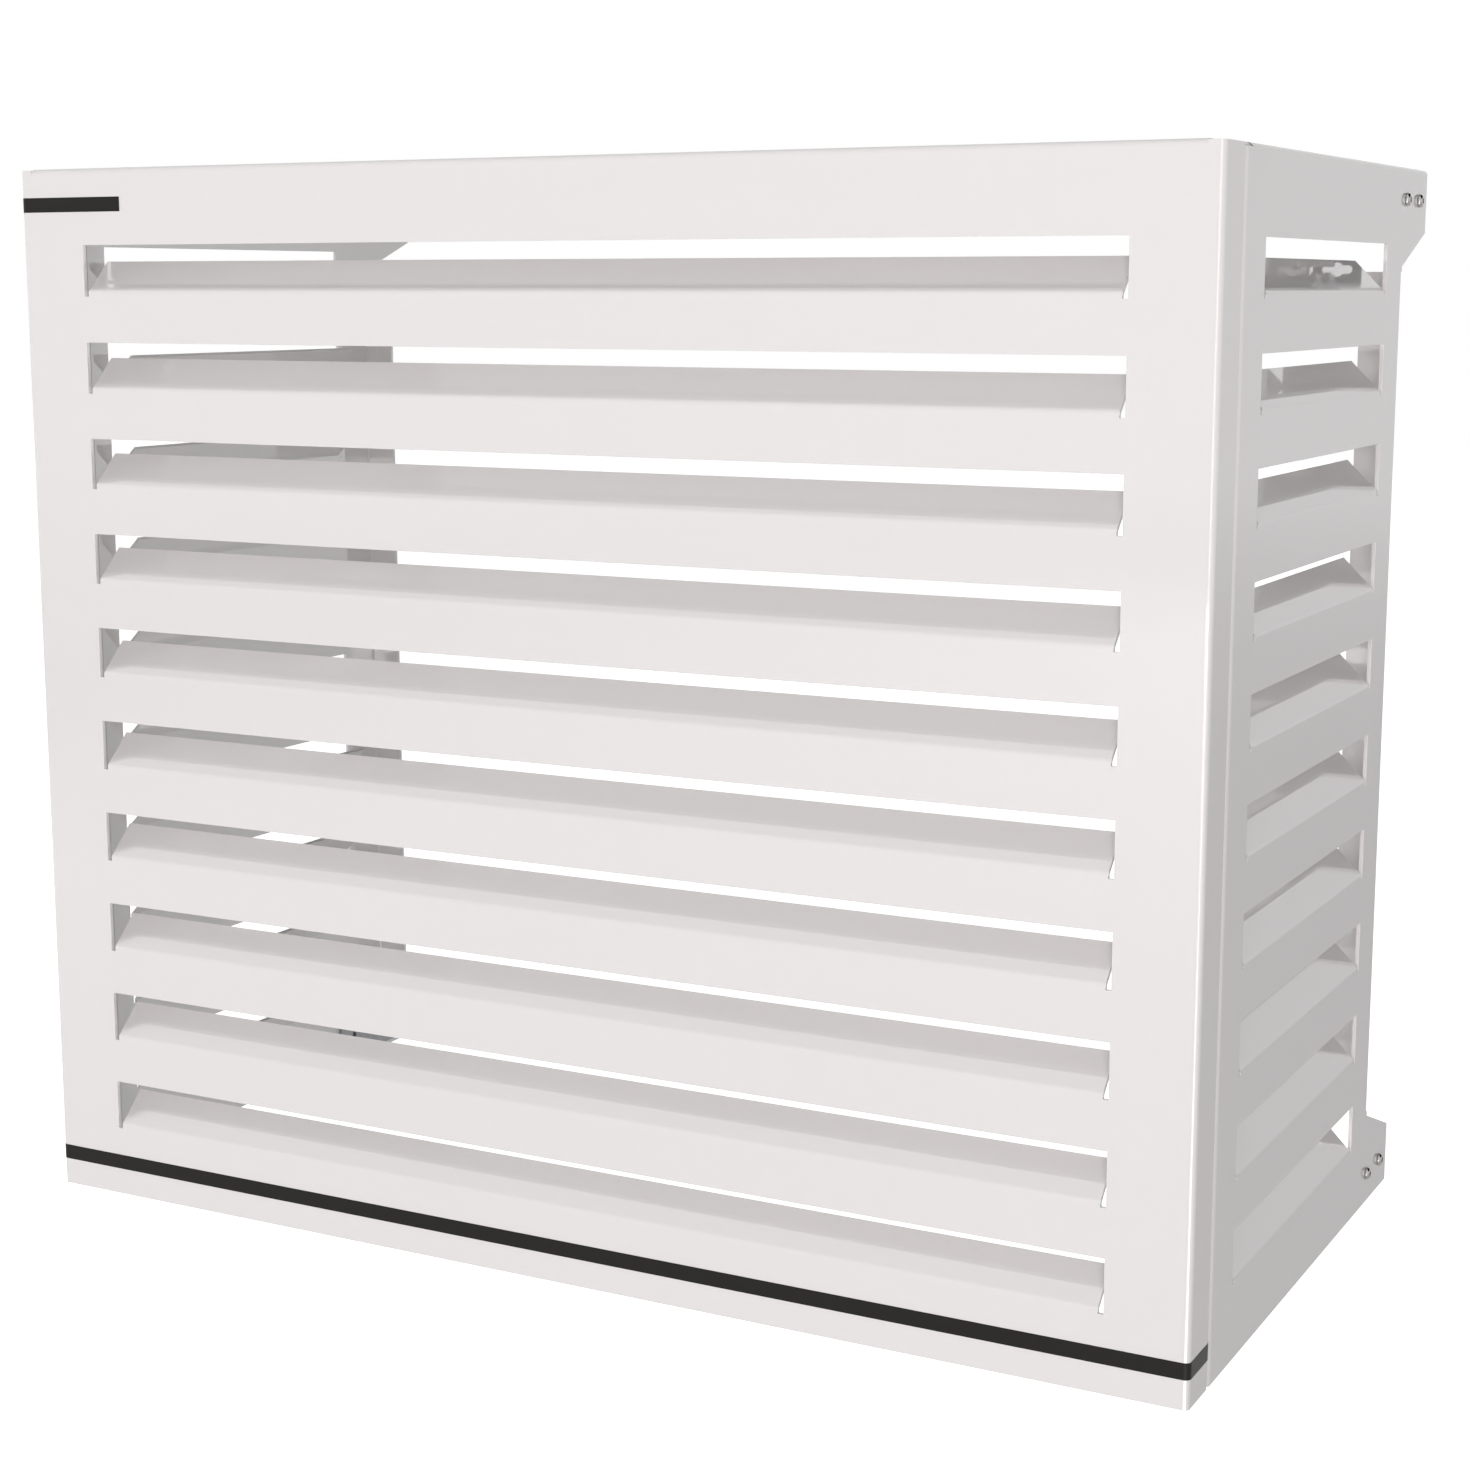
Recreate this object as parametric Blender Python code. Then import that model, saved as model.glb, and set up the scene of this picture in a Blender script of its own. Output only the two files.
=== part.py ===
"""Louvred sheet-metal screen that hides an outdoor air-conditioning unit on a wall.

A folded front panel and two folded side panels carry rows of lanced louvre blades.
They are bolted together inside the front corners, riveted to a roof tray, and held by
button-head screws on four angle brackets at the wall.  Lengths are in metres.
X runs to the right, Y from the front face to the wall and Z up from the bottom edge.
"""

import math

import bmesh
import bpy
from mathutils import Matrix, Vector

# Sheet metal
SHEET = 0.003
BEND_INNER_RADIUS = 0.0015
FIT_GAP = 0.0003
TEAR_SLIT = 0.0005
FOLD_STEPS_PER_QUARTER = 4

# Outside of the screen
WIDTH = 1.000
HEIGHT = 0.850
RETURN_DEPTH = 0.0441
BODY_DEPTH = 0.465
WALL_GAP = 0.005

# Louvres
LOUVRE_ROWS = 10
TOP_MARGIN = 0.060
BOTTOM_MARGIN = 0.060
FRONT_END_MARGIN = 0.0625
SIDE_END_MARGIN = 0.0485
BLADE_ANGLE = math.radians(45)
BLADE_FLAT = 0.032
RELIEF_WIDTH = 0.004
RELIEF_DEPTH = 0.002

# Flanges
TOP_FLANGE = 0.030
BACK_FLANGE = 0.032
JOINT_FLANGE = 0.027
FRONT_CORNER = 0.012
SIDE_CORNER = 0.0136
SIDE_CORNER_DROP = 0.003
EDGE_DROP = 0.0008
FLANGE_END_INSET = 0.004

# Ears at the wall end of the side panels
EAR_REACH = 0.070
EAR_HEIGHT = 0.050
EAR_SLOPE = 0.027

# Wall brackets
BRACKET_SHEET = 0.003
BRACKET_BEND_INNER_RADIUS = 0.002
BRACKET_LENGTH = 0.150
BRACKET_HEIGHT = 0.040
BRACKET_WALL_LEG = 0.030
HOLE_PITCH = 0.020
HOLE_END_MARGIN = 0.019
HOLES_BETWEEN_SCREWS = 2
KEYHOLE_INSET = 0.0147
KEYHOLE_RADIUS = 0.006
KEYHOLE_SLOT_WIDTH = 0.007
KEYHOLE_SLOT_LENGTH = 0.026

# Screws, washers and nuts through the ears, M6
EAR_SCREW_INSET = 0.025
SCREW_LEVEL = 0.025
SCREW_RADIUS = 0.003
SCREW_HEAD_RADIUS = 0.00525
SCREW_HEAD_HEIGHT = 0.0033
SCREW_RIM_HEIGHT = 0.0008
SCREW_DOME_RADIUS = 0.0043
SCREW_DOME_HEIGHT = 0.0024
SOCKET_ACROSS = 0.004
SOCKET_DEPTH = 0.0020
THREAD_PAST_NUT = 0.002
WASHER_RADIUS = 0.006
WASHER_THICKNESS = 0.0016
NUT_ACROSS = 0.010
NUT_HEIGHT = 0.005

# Bolts in the joint flanges behind the front corners, M6
JOINT_BOLTS = 3
JOINT_BOLT_END = 0.075
JOINT_BOLT_INSET = 0.016
BOLT_HEAD_HEIGHT = 0.004

# Roof tray and its rivets
ROOF_SHEET = 0.003
ROOF_EDGE_INSET = 0.012
ROOF_FRONT_INSET = 0.006
ROOF_WALL_GAP = 0.022
ROOF_LIP = 0.025
ROOF_LIP_END_INSET = 0.020
ROOF_RIVETS = 3
RIVET_END = 0.050
RIVET_RADIUS = 0.0024
RIVET_HEAD_RADIUS = 0.00475
RIVET_RIM_HEIGHT = 0.0004
RIVET_DOME_RADIUS = 0.003
RIVET_HEAD_HEIGHT = 0.0014
RIVET_TAIL_RADIUS = 0.0033
RIVET_TAIL_HEIGHT = 0.003

# Stripes of self-adhesive film
FILM = 0.0003
LOW_STRIPE_BOTTOM = 0.022
LOW_STRIPE_HEIGHT = 0.0123
HIGH_STRIPE_BELOW_TOP = 0.034
HIGH_STRIPE_HEIGHT = 0.0115
HIGH_STRIPE_LENGTH = 0.1015
STRIPE_WRAP = math.radians(60)

# Facets
ROUND_SIDES = 12
ARC_STEPS = 6
WELD = 0.000001
SMOOTH_BELOW = math.radians(35)

# Sizes that follow from the ones above
BEND = SHEET + BEND_INNER_RADIUS
BRACKET_BEND = BRACKET_SHEET + BRACKET_BEND_INNER_RADIUS
HALF_WIDTH = WIDTH / 2
EAR_END = BODY_DEPTH + EAR_REACH
DEPTH = EAR_END + WALL_GAP
FRONT_Y = (FIT_GAP + FILM - DEPTH) / 2
SEAM = RETURN_DEPTH + FIT_GAP
TOP_FOLD_LINE = HEIGHT - BEND
SLOT_HEIGHT = (HEIGHT - TOP_MARGIN - BOTTOM_MARGIN) / (2 * LOUVRE_ROWS - 1)
SLOT_BOTTOMS = [BOTTOM_MARGIN + 2 * row * SLOT_HEIGHT for row in range(LOUVRE_ROWS)]
SCREW_HOLE_RADIUS = SCREW_RADIUS + FIT_GAP
RIVET_HOLE_RADIUS = RIVET_RADIUS + FIT_GAP
REAR_SCREW_Y = EAR_END - EAR_SCREW_INSET
SCREW_YS = [REAR_SCREW_Y, REAR_SCREW_Y - HOLES_BETWEEN_SCREWS * HOLE_PITCH]
ROOF_TOP = HEIGHT - SHEET - FIT_GAP
RIVET_X = HALF_WIDTH - (ROOF_EDGE_INSET + TOP_FLANGE) / 2

INWARD = Vector((0, 1, 0))
OUTWARD = Vector((0, -1, 0))
ACROSS = Vector((1, 0, 0))
UP = Vector((0, 0, 1))
QUARTER = math.pi / 2
SIDES = {"left": -1, "right": 1}
LEVELS = {"top": HEIGHT - SCREW_LEVEL, "bottom": SCREW_LEVEL}


def clear_scene():
    """Removes every object, so that the model starts from an empty scene."""
    for item in list(bpy.data.objects):
        bpy.data.objects.remove(item, do_unlink=True)


def surface(name, colour, roughness, metallic):
    """Makes a material with one Principled shader."""
    material = bpy.data.materials.new(name)
    material.use_nodes = True
    shader = material.node_tree.nodes["Principled BSDF"]
    shader.inputs["Base Color"].default_value = (*colour, 1)
    shader.inputs["Roughness"].default_value = roughness
    shader.inputs["Metallic"].default_value = metallic
    return material


def spread(count, first, last):
    """Even places from first to last, or the middle alone for a count of one."""
    if count < 2:
        return [(first + last) / 2]
    return [first + (last - first) * index / (count - 1) for index in range(count)]


def finish(name, bm, material):
    """Turns a bmesh into an object with one material and smooth round faces."""
    mesh = bpy.data.meshes.new(name)
    bm.to_mesh(mesh)
    bm.free()
    mesh.shade_smooth()
    mesh.set_sharp_from_angle(angle=SMOOTH_BELOW)
    mesh.materials.append(material)
    item = bpy.data.objects.new(name, mesh)
    bpy.context.scene.collection.objects.link(item)
    return item


def skin(bm, corners, outward):
    """Adds one flat face of a sheet's outer side, facing outward."""
    face = bm.faces.new([bm.verts.new(corner) for corner in corners])
    face.normal_update()
    if face.normal.dot(outward) < 0:
        face.normal_flip()


def flat_point(across, up):
    """A point on a panel's outer face, in the panel's own frame."""
    return Vector((across, 0, up))


def flat_skin(bm, outline):
    """Adds a face of a panel's outer side from (across, up) pairs."""
    skin(bm, [flat_point(across, up) for across, up in outline], OUTWARD)


def folded_strip(bm, line, heading, outward, angle, radius, flat, trim_share=0):
    """Folds the sheet inward along a straight edge and runs it on flat.

    The edge's points are given in order.  Both ends of the flat part are cut back by
    trim_share of its length.  Returns the last edge, its heading and its outward side.
    """
    steps = max(1, round(FOLD_STEPS_PER_QUARTER * angle / QUARTER))
    rows = [list(line)]
    for step in range(1, steps + 1):
        turn = angle * step / steps
        shift = heading * math.sin(turn) - outward * (1 - math.cos(turn))
        rows.append([point + shift * radius for point in line])
    new_heading = heading * math.cos(angle) - outward * math.sin(angle)
    new_outward = outward * math.cos(angle) + heading * math.sin(angle)
    if flat > 0:
        along = (line[-1] - line[0]).normalized() * flat * trim_share
        last = [point + new_heading * flat for point in rows[-1]]
        last[0] += along
        last[-1] -= along
        rows.append(last)
    for near, far in zip(rows, rows[1:]):
        for index in range(len(line) - 1):
            corners = [near[index], near[index + 1], far[index + 1], far[index]]
            skin(bm, corners, outward + new_outward)
    return rows[-1], new_heading, new_outward


def sheet_object(name, bm, thickness, material, mirrored=False):
    """Welds the outer faces and thickens them inward into a solid sheet."""
    bmesh.ops.remove_doubles(bm, verts=bm.verts, dist=WELD)
    if mirrored:
        bmesh.ops.transform(bm, matrix=Matrix.Scale(-1, 4, INWARD), verts=bm.verts)
        bmesh.ops.reverse_faces(bm, faces=bm.faces)
    item = finish(name, bm, material)
    thicken = item.modifiers.new("thickness", "SOLIDIFY")
    thicken.thickness = thickness
    thicken.offset = -1
    thicken.solidify_mode = "NON_MANIFOLD"
    thicken.nonmanifold_thickness_mode = "CONSTRAINTS"
    thicken.nonmanifold_merge_threshold = WELD
    return item


def cut(item, bm, name):
    """Cuts the closed shapes in a bmesh out of an object."""
    mesh = bpy.data.meshes.new(name)
    bmesh.ops.recalc_face_normals(bm, faces=bm.faces)
    bm.to_mesh(mesh)
    bm.free()
    cutter = bpy.data.objects.new(name, mesh)
    cutter.hide_render = True
    cutter.display_type = "WIRE"
    bpy.context.scene.collection.objects.link(cutter)
    drill = item.modifiers.new("holes", "BOOLEAN")
    drill.operation = "DIFFERENCE"
    drill.object = cutter


def drill_shape(bm, centre, axis, radius):
    """Adds a drill that passes through one sheet at the centre given."""
    turn = UP.rotation_difference(axis).to_matrix().to_4x4()
    bmesh.ops.create_cone(
        bm, cap_ends=True, segments=ROUND_SIDES, radius1=radius, radius2=radius,
        depth=SHEET + BRACKET_SHEET, matrix=Matrix.Translation(centre) @ turn)


def ring(radius, height, hexagonal=False):
    """A closed ring of points: a circle, or a hexagon given by half its width."""
    points = []
    for index in range(ROUND_SIDES):
        angle = math.tau * index / ROUND_SIDES
        reach = radius
        if hexagonal:
            off_flat = (angle + math.pi / 6) % (math.pi / 3) - math.pi / 6
            reach = radius / math.cos(math.pi / 6 - abs(off_flat))
        points.append(Vector((reach * math.cos(angle), reach * math.sin(angle), height)))
    return points


def loft(bm, rings, hollow):
    """Makes a closed solid through rings; a hollow one joins its last ring to its first."""
    loops = [[bm.verts.new(point) for point in points] for points in rings]
    pairs = list(zip(loops, loops[1:]))
    if hollow:
        pairs.append((loops[-1], loops[0]))
    else:
        bm.faces.new(loops[0])
        bm.faces.new(loops[-1])
    for low, high in pairs:
        for index in range(ROUND_SIDES):
            after = (index + 1) % ROUND_SIDES
            bm.faces.new([low[index], low[after], high[after], high[index]])
    bmesh.ops.recalc_face_normals(bm, faces=bm.faces)


def row_levels():
    """Heights where a margin meets lands and slots, from the bottom edge up."""
    levels = [0]
    for bottom in SLOT_BOTTOMS:
        levels += [bottom - RELIEF_DEPTH, bottom + SLOT_HEIGHT]
    return levels + [TOP_FOLD_LINE]


def louvred_face(bm, left_edge, right_edge, slot_left, slot_right):
    """Outer face of a louvred panel with its blades.

    The edges are the outlines of the two margins from the bottom up to the top fold.
    Lands join the margins above and below each slot.  The notches at the foot of a
    slot free the ends of its blade.
    """
    levels = row_levels()
    flat_skin(bm, left_edge + [(slot_left, level) for level in reversed(levels)])
    flat_skin(bm, right_edge + [(slot_right, level) for level in reversed(levels)])
    blade_left = slot_left + RELIEF_WIDTH
    blade_right = slot_right - RELIEF_WIDTH
    low = 0
    for bottom in SLOT_BOTTOMS:
        notch = bottom - RELIEF_DEPTH
        flat_skin(bm, [
            (slot_left, low), (slot_right, low), (slot_right, notch), (blade_right, notch),
            (blade_right, bottom), (blade_left, bottom), (blade_left, notch), (slot_left, notch)])
        foot = [flat_point(blade_left, bottom), flat_point(blade_right, bottom)]
        folded_strip(bm, foot, UP, OUTWARD, BLADE_ANGLE, BEND, BLADE_FLAT)
        low = bottom + SLOT_HEIGHT
    flat_skin(bm, [
        (slot_left, low), (slot_right, low),
        (slot_right, TOP_FOLD_LINE), (slot_left, TOP_FOLD_LINE)])


def top_flange(bm, places):
    """Flange along the top edge, through the places where the face below has corners."""
    line = [flat_point(place, TOP_FOLD_LINE) for place in places]
    folded_strip(bm, line, UP, OUTWARD, QUARTER, BEND, TOP_FLANGE - BEND)


def joint_bolt_levels():
    """Heights of the bolts in the joint flanges."""
    return spread(JOINT_BOLTS, JOINT_BOLT_END, HEIGHT - JOINT_BOLT_END)


def front_panel(paint):
    """Front with louvres, a top flange, and returns that end in joint flanges."""
    bm = bmesh.new()
    fold = HALF_WIDTH - BEND
    corner = HALF_WIDTH - FRONT_CORNER
    slot = HALF_WIDTH - FRONT_END_MARGIN
    crest = HEIGHT - EDGE_DROP
    edge = [
        (fold, 0), (fold, crest), (corner + TEAR_SLIT, crest),
        (corner + TEAR_SLIT, TOP_FOLD_LINE), (corner, TOP_FOLD_LINE)]
    mirrored_edge = [(-across, up) for across, up in edge]
    louvred_face(bm, mirrored_edge, edge, -slot, slot)
    top_flange(bm, [-corner, -slot, slot, corner])
    for side in SIDES.values():
        line = [flat_point(side * fold, 0), flat_point(side * fold, crest)]
        line, heading, outward = folded_strip(
            bm, line, ACROSS * side, OUTWARD, QUARTER, BEND, RETURN_DEPTH - 2 * BEND)
        folded_strip(bm, line, heading, outward, QUARTER, BEND, JOINT_FLANGE - BEND, 1)
    panel = sheet_object("front_panel", bm, SHEET, paint)
    panel.location = (0, FRONT_Y, 0)
    holes = bmesh.new()
    for side in SIDES.values():
        for level in joint_bolt_levels():
            drill_shape(holes, joint_bolt_place(side, level, RETURN_DEPTH - SHEET / 2),
                        INWARD, SCREW_HOLE_RADIUS)
    cut(panel, holes, "front_panel_holes")


def joint_bolt_place(side, level, depth):
    """A point on a joint bolt's axis, at a depth behind the front face."""
    return Vector((side * (HALF_WIDTH - JOINT_BOLT_INSET), FRONT_Y + depth, level))


def ear_edge():
    """Wall end of a side panel from the bottom up, with its two ears."""
    flank = BODY_DEPTH - EDGE_DROP
    fold = BODY_DEPTH - BEND
    crest = HEIGHT - EDGE_DROP
    low_root = EAR_HEIGHT + EAR_SLOPE
    low_fold = low_root + FLANGE_END_INSET
    flange_end = EAR_END - FLANGE_END_INSET
    return [
        (EAR_END, 0), (EAR_END, EAR_HEIGHT),
        (flank, low_root), (flank, low_fold - TEAR_SLIT),
        (fold, low_fold - TEAR_SLIT), (fold, low_fold),
        (fold, HEIGHT - low_fold), (fold, HEIGHT - low_fold + TEAR_SLIT),
        (flank, HEIGHT - low_fold + TEAR_SLIT), (flank, HEIGHT - low_root),
        (EAR_END, HEIGHT - EAR_HEIGHT), (EAR_END, crest),
        (flange_end + TEAR_SLIT, crest), (flange_end + TEAR_SLIT, TOP_FOLD_LINE),
        (flange_end, TOP_FOLD_LINE)]


def rivet_ys():
    """Places of the roof rivets along a side panel's top flange, from the front face."""
    return spread(ROOF_RIVETS, SEAM + SIDE_CORNER + RIVET_END,
                  EAR_END - FLANGE_END_INSET - RIVET_END)


def side_panel(name, side, paint):
    """Side with louvres, a joint flange in front, a top and a back flange, and two ears."""
    bm = bmesh.new()
    seam_fold = SEAM + BEND
    corner = SEAM + SIDE_CORNER
    slot_front = SEAM + SIDE_END_MARGIN
    slot_rear = BODY_DEPTH - SIDE_END_MARGIN
    crest = HEIGHT - SIDE_CORNER_DROP
    front_edge = [
        (seam_fold, 0), (seam_fold, crest), (corner - TEAR_SLIT, crest),
        (corner - TEAR_SLIT, TOP_FOLD_LINE), (corner, TOP_FOLD_LINE)]
    rear_edge = ear_edge()
    louvred_face(bm, front_edge, rear_edge, slot_front, slot_rear)
    top_flange(bm, [corner, slot_front, slot_rear, EAR_END - FLANGE_END_INSET])
    seam_line = [flat_point(seam_fold, 0), flat_point(seam_fold, crest)]
    folded_strip(bm, seam_line, -ACROSS, OUTWARD, QUARTER, BEND, JOINT_FLANGE - BEND, 1)
    low_fold = EAR_HEIGHT + EAR_SLOPE + FLANGE_END_INSET
    back_fold = BODY_DEPTH - BEND
    back_line = [flat_point(back_fold, low_fold), flat_point(back_fold, HEIGHT - low_fold)]
    folded_strip(bm, back_line, ACROSS, OUTWARD, QUARTER, BEND, BACK_FLANGE - BEND)
    panel = sheet_object(name, bm, SHEET, paint, mirrored=side < 0)
    panel.location = (side * HALF_WIDTH, FRONT_Y, 0)
    panel.rotation_euler = (0, 0, QUARTER)
    holes = bmesh.new()
    for level in joint_bolt_levels():
        drill_shape(holes, joint_bolt_place(side, level, SEAM + SHEET / 2),
                    INWARD, SCREW_HOLE_RADIUS)
    for level in LEVELS.values():
        for depth in SCREW_YS:
            centre = Vector((side * (HALF_WIDTH - SHEET / 2), FRONT_Y + depth, level))
            drill_shape(holes, centre, ACROSS, SCREW_HOLE_RADIUS)
    for depth in rivet_ys():
        centre = Vector((side * RIVET_X, FRONT_Y + depth, HEIGHT - SHEET / 2))
        drill_shape(holes, centre, UP, RIVET_HOLE_RADIUS)
    cut(panel, holes, name + "_holes")


def roof_panel(paint):
    """Flat tray under the top flanges, with a lip turned down in front and behind."""
    bm = bmesh.new()
    edge = HALF_WIDTH - ROOF_EDGE_INSET
    lip_end = HALF_WIDTH - ROOF_LIP_END_INSET
    bend = ROOF_SHEET + BEND_INNER_RADIUS
    front = ROOF_FRONT_INSET + bend
    rear = DEPTH - ROOF_WALL_GAP - bend
    corners = [
        (-edge, front), (-lip_end, front), (lip_end, front), (edge, front),
        (edge, rear), (lip_end, rear), (-lip_end, rear), (-edge, rear)]
    skin(bm, [Vector((x, y, 0)) for x, y in corners], UP)
    for y, heading in ((front, OUTWARD), (rear, INWARD)):
        line = [Vector((-lip_end, y, 0)), Vector((lip_end, y, 0))]
        folded_strip(bm, line, heading, UP, QUARTER, bend, ROOF_LIP - bend)
    roof = sheet_object("roof_panel", bm, ROOF_SHEET, paint)
    roof.location = (0, FRONT_Y, ROOF_TOP)
    holes = bmesh.new()
    for side in SIDES.values():
        for depth in rivet_ys():
            centre = Vector((side * RIVET_X, FRONT_Y + depth, ROOF_TOP - ROOF_SHEET / 2))
            drill_shape(holes, centre, UP, RIVET_HOLE_RADIUS)
    cut(roof, holes, "roof_panel_holes")


def bracket_hole_ys():
    """Places of a bracket's adjustment holes, from the front face, rear hole first."""
    row = BRACKET_LENGTH - WALL_GAP - EAR_SCREW_INSET - HOLE_END_MARGIN
    count = int(row / HOLE_PITCH) + 1
    return [REAR_SCREW_Y - index * HOLE_PITCH for index in range(count)]


def arc_points(radius, centre_z, start, end):
    """Points of an arc about a centre on the upright axis, in the plane of the wall."""
    points = []
    for step in range(ARC_STEPS + 1):
        angle = start + (end - start) * step / ARC_STEPS
        points.append(Vector((radius * math.cos(angle), 0, centre_z + radius * math.sin(angle))))
    return points


def keyhole_shape(bm, centre):
    """Adds a cutter for an upright slot with a wider round hole in its middle."""
    slot_radius = KEYHOLE_SLOT_WIDTH / 2
    slot_end = KEYHOLE_SLOT_LENGTH / 2 - slot_radius
    waist = math.acos(slot_radius / KEYHOLE_RADIUS)
    outline = arc_points(KEYHOLE_RADIUS, 0, -waist, waist)
    outline += arc_points(slot_radius, slot_end, 0, math.pi)
    outline += arc_points(KEYHOLE_RADIUS, 0, math.pi - waist, math.pi + waist)
    outline += arc_points(slot_radius, -slot_end, math.pi, math.tau)
    near = centre - INWARD * BRACKET_SHEET
    face = bm.faces.new([bm.verts.new(near + point) for point in outline])
    sweep = bmesh.ops.extrude_face_region(bm, geom=[face])
    far = [part for part in sweep["geom"] if isinstance(part, bmesh.types.BMVert)]
    bmesh.ops.translate(bm, vec=INWARD * BRACKET_SHEET * 2, verts=far)


def wall_bracket(name, side, level, steel):
    """Angle bracket: a leg with a row of holes inside the ear and a leg on the wall."""
    bm = bmesh.new()
    low = -BRACKET_HEIGHT / 2
    high = BRACKET_HEIGHT / 2
    fold = -BRACKET_BEND
    flat_skin(bm, [(-BRACKET_LENGTH, low), (fold, low), (fold, high), (-BRACKET_LENGTH, high)])
    line = [flat_point(fold, low), flat_point(fold, high)]
    folded_strip(bm, line, ACROSS, OUTWARD, QUARTER, BRACKET_BEND,
                 BRACKET_WALL_LEG - BRACKET_BEND)
    bracket = sheet_object(name, bm, BRACKET_SHEET, steel, mirrored=side < 0)
    face_x = HALF_WIDTH - SHEET - FIT_GAP
    bracket.location = (side * face_x, FRONT_Y + DEPTH, level)
    bracket.rotation_euler = (0, 0, QUARTER)
    holes = bmesh.new()
    for depth in bracket_hole_ys():
        centre = Vector((side * (face_x - BRACKET_SHEET / 2), FRONT_Y + depth, level))
        drill_shape(holes, centre, ACROSS, SCREW_HOLE_RADIUS)
    keyhole_x = side * (face_x - KEYHOLE_INSET)
    keyhole_shape(holes, Vector((keyhole_x, FRONT_Y + DEPTH - BRACKET_SHEET / 2, level)))
    cut(bracket, holes, name + "_holes")


def nut_rings():
    """Rings of a plain hexagon nut that stands on its own origin."""
    return [
        ring(NUT_ACROSS / 2, 0, hexagonal=True), ring(NUT_ACROSS / 2, NUT_HEIGHT, hexagonal=True),
        ring(SCREW_HOLE_RADIUS, NUT_HEIGHT), ring(SCREW_HOLE_RADIUS, 0)]


def washer_rings():
    """Rings of a flat washer that lies on its own origin."""
    return [
        ring(WASHER_RADIUS, 0), ring(WASHER_RADIUS, WASHER_THICKNESS),
        ring(SCREW_HOLE_RADIUS, WASHER_THICKNESS), ring(SCREW_HOLE_RADIUS, 0)]


def button_screw_rings(length):
    """Rings of a domed socket screw, from the end of its thread to the socket's floor."""
    return [
        ring(SCREW_RADIUS, -length), ring(SCREW_RADIUS, 0), ring(SCREW_HEAD_RADIUS, 0),
        ring(SCREW_HEAD_RADIUS, SCREW_RIM_HEIGHT), ring(SCREW_DOME_RADIUS, SCREW_DOME_HEIGHT),
        ring(SOCKET_ACROSS / 2, SCREW_HEAD_HEIGHT, hexagonal=True),
        ring(SOCKET_ACROSS / 2, SCREW_HEAD_HEIGHT - SOCKET_DEPTH, hexagonal=True)]


def hex_bolt_rings(length):
    """Rings of a hexagon bolt, from the end of its thread to the top of its head."""
    return [
        ring(SCREW_RADIUS, -length), ring(SCREW_RADIUS, 0),
        ring(NUT_ACROSS / 2, 0, hexagonal=True),
        ring(NUT_ACROSS / 2, BOLT_HEAD_HEIGHT, hexagonal=True)]


def rivet_rings():
    """Rings of a rivet through flange and roof, from its tail to the top of its dome."""
    grip = FIT_GAP * 3 + SHEET + ROOF_SHEET
    return [
        ring(RIVET_TAIL_RADIUS, -grip - RIVET_TAIL_HEIGHT), ring(RIVET_TAIL_RADIUS, -grip),
        ring(RIVET_RADIUS, -grip), ring(RIVET_RADIUS, 0), ring(RIVET_HEAD_RADIUS, 0),
        ring(RIVET_HEAD_RADIUS, RIVET_RIM_HEIGHT), ring(RIVET_DOME_RADIUS, RIVET_HEAD_HEIGHT)]


def turned_piece(name, rings, location, axis, material, hollow=False):
    """A round or hexagonal piece that stands at a location along an axis."""
    bm = bmesh.new()
    loft(bm, rings, hollow)
    piece = finish(name, bm, material)
    piece.location = location
    piece.rotation_euler = UP.rotation_difference(axis).to_euler()


def ear_fasteners(side_name, level_name, steel):
    """Two screws with washers and nuts that hold one ear to its bracket."""
    outward = ACROSS * SIDES[side_name]
    washer_depth = SHEET + BRACKET_SHEET + FIT_GAP * 2 + WASHER_THICKNESS
    nut_depth = washer_depth + FIT_GAP + NUT_HEIGHT
    length = nut_depth + FIT_GAP + THREAD_PAST_NUT
    for number, depth in enumerate(SCREW_YS, start=1):
        label = f"{level_name}_{side_name}_{number}"
        face = outward * HALF_WIDTH + Vector((0, FRONT_Y + depth, LEVELS[level_name]))
        turned_piece("ear_screw_" + label, button_screw_rings(length),
                     face + outward * FIT_GAP, outward, steel)
        turned_piece("ear_washer_" + label, washer_rings(),
                     face - outward * washer_depth, outward, steel, hollow=True)
        turned_piece("ear_nut_" + label, nut_rings(),
                     face - outward * nut_depth, outward, steel, hollow=True)


def joint_fasteners(side_name, zinc):
    """Bolts and nuts that hold the two joint flanges behind one front corner."""
    side = SIDES[side_name]
    head_depth = SEAM + SHEET + FIT_GAP
    nut_depth = RETURN_DEPTH - SHEET - FIT_GAP - NUT_HEIGHT
    length = head_depth - nut_depth + THREAD_PAST_NUT
    for number, level in enumerate(joint_bolt_levels(), start=1):
        label = f"{side_name}_{number}"
        turned_piece("joint_bolt_" + label, hex_bolt_rings(length),
                     joint_bolt_place(side, level, head_depth), INWARD, zinc)
        turned_piece("joint_nut_" + label, nut_rings(),
                     joint_bolt_place(side, level, nut_depth), INWARD, zinc, hollow=True)


def roof_rivets(side_name, aluminium):
    """Rivets through one side panel's top flange and the roof tray."""
    for number, depth in enumerate(rivet_ys(), start=1):
        head = Vector((SIDES[side_name] * RIVET_X, FRONT_Y + depth, HEIGHT + FIT_GAP))
        turned_piece(f"roof_rivet_{side_name}_{number}", rivet_rings(), head, UP, aluminium)


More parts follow.
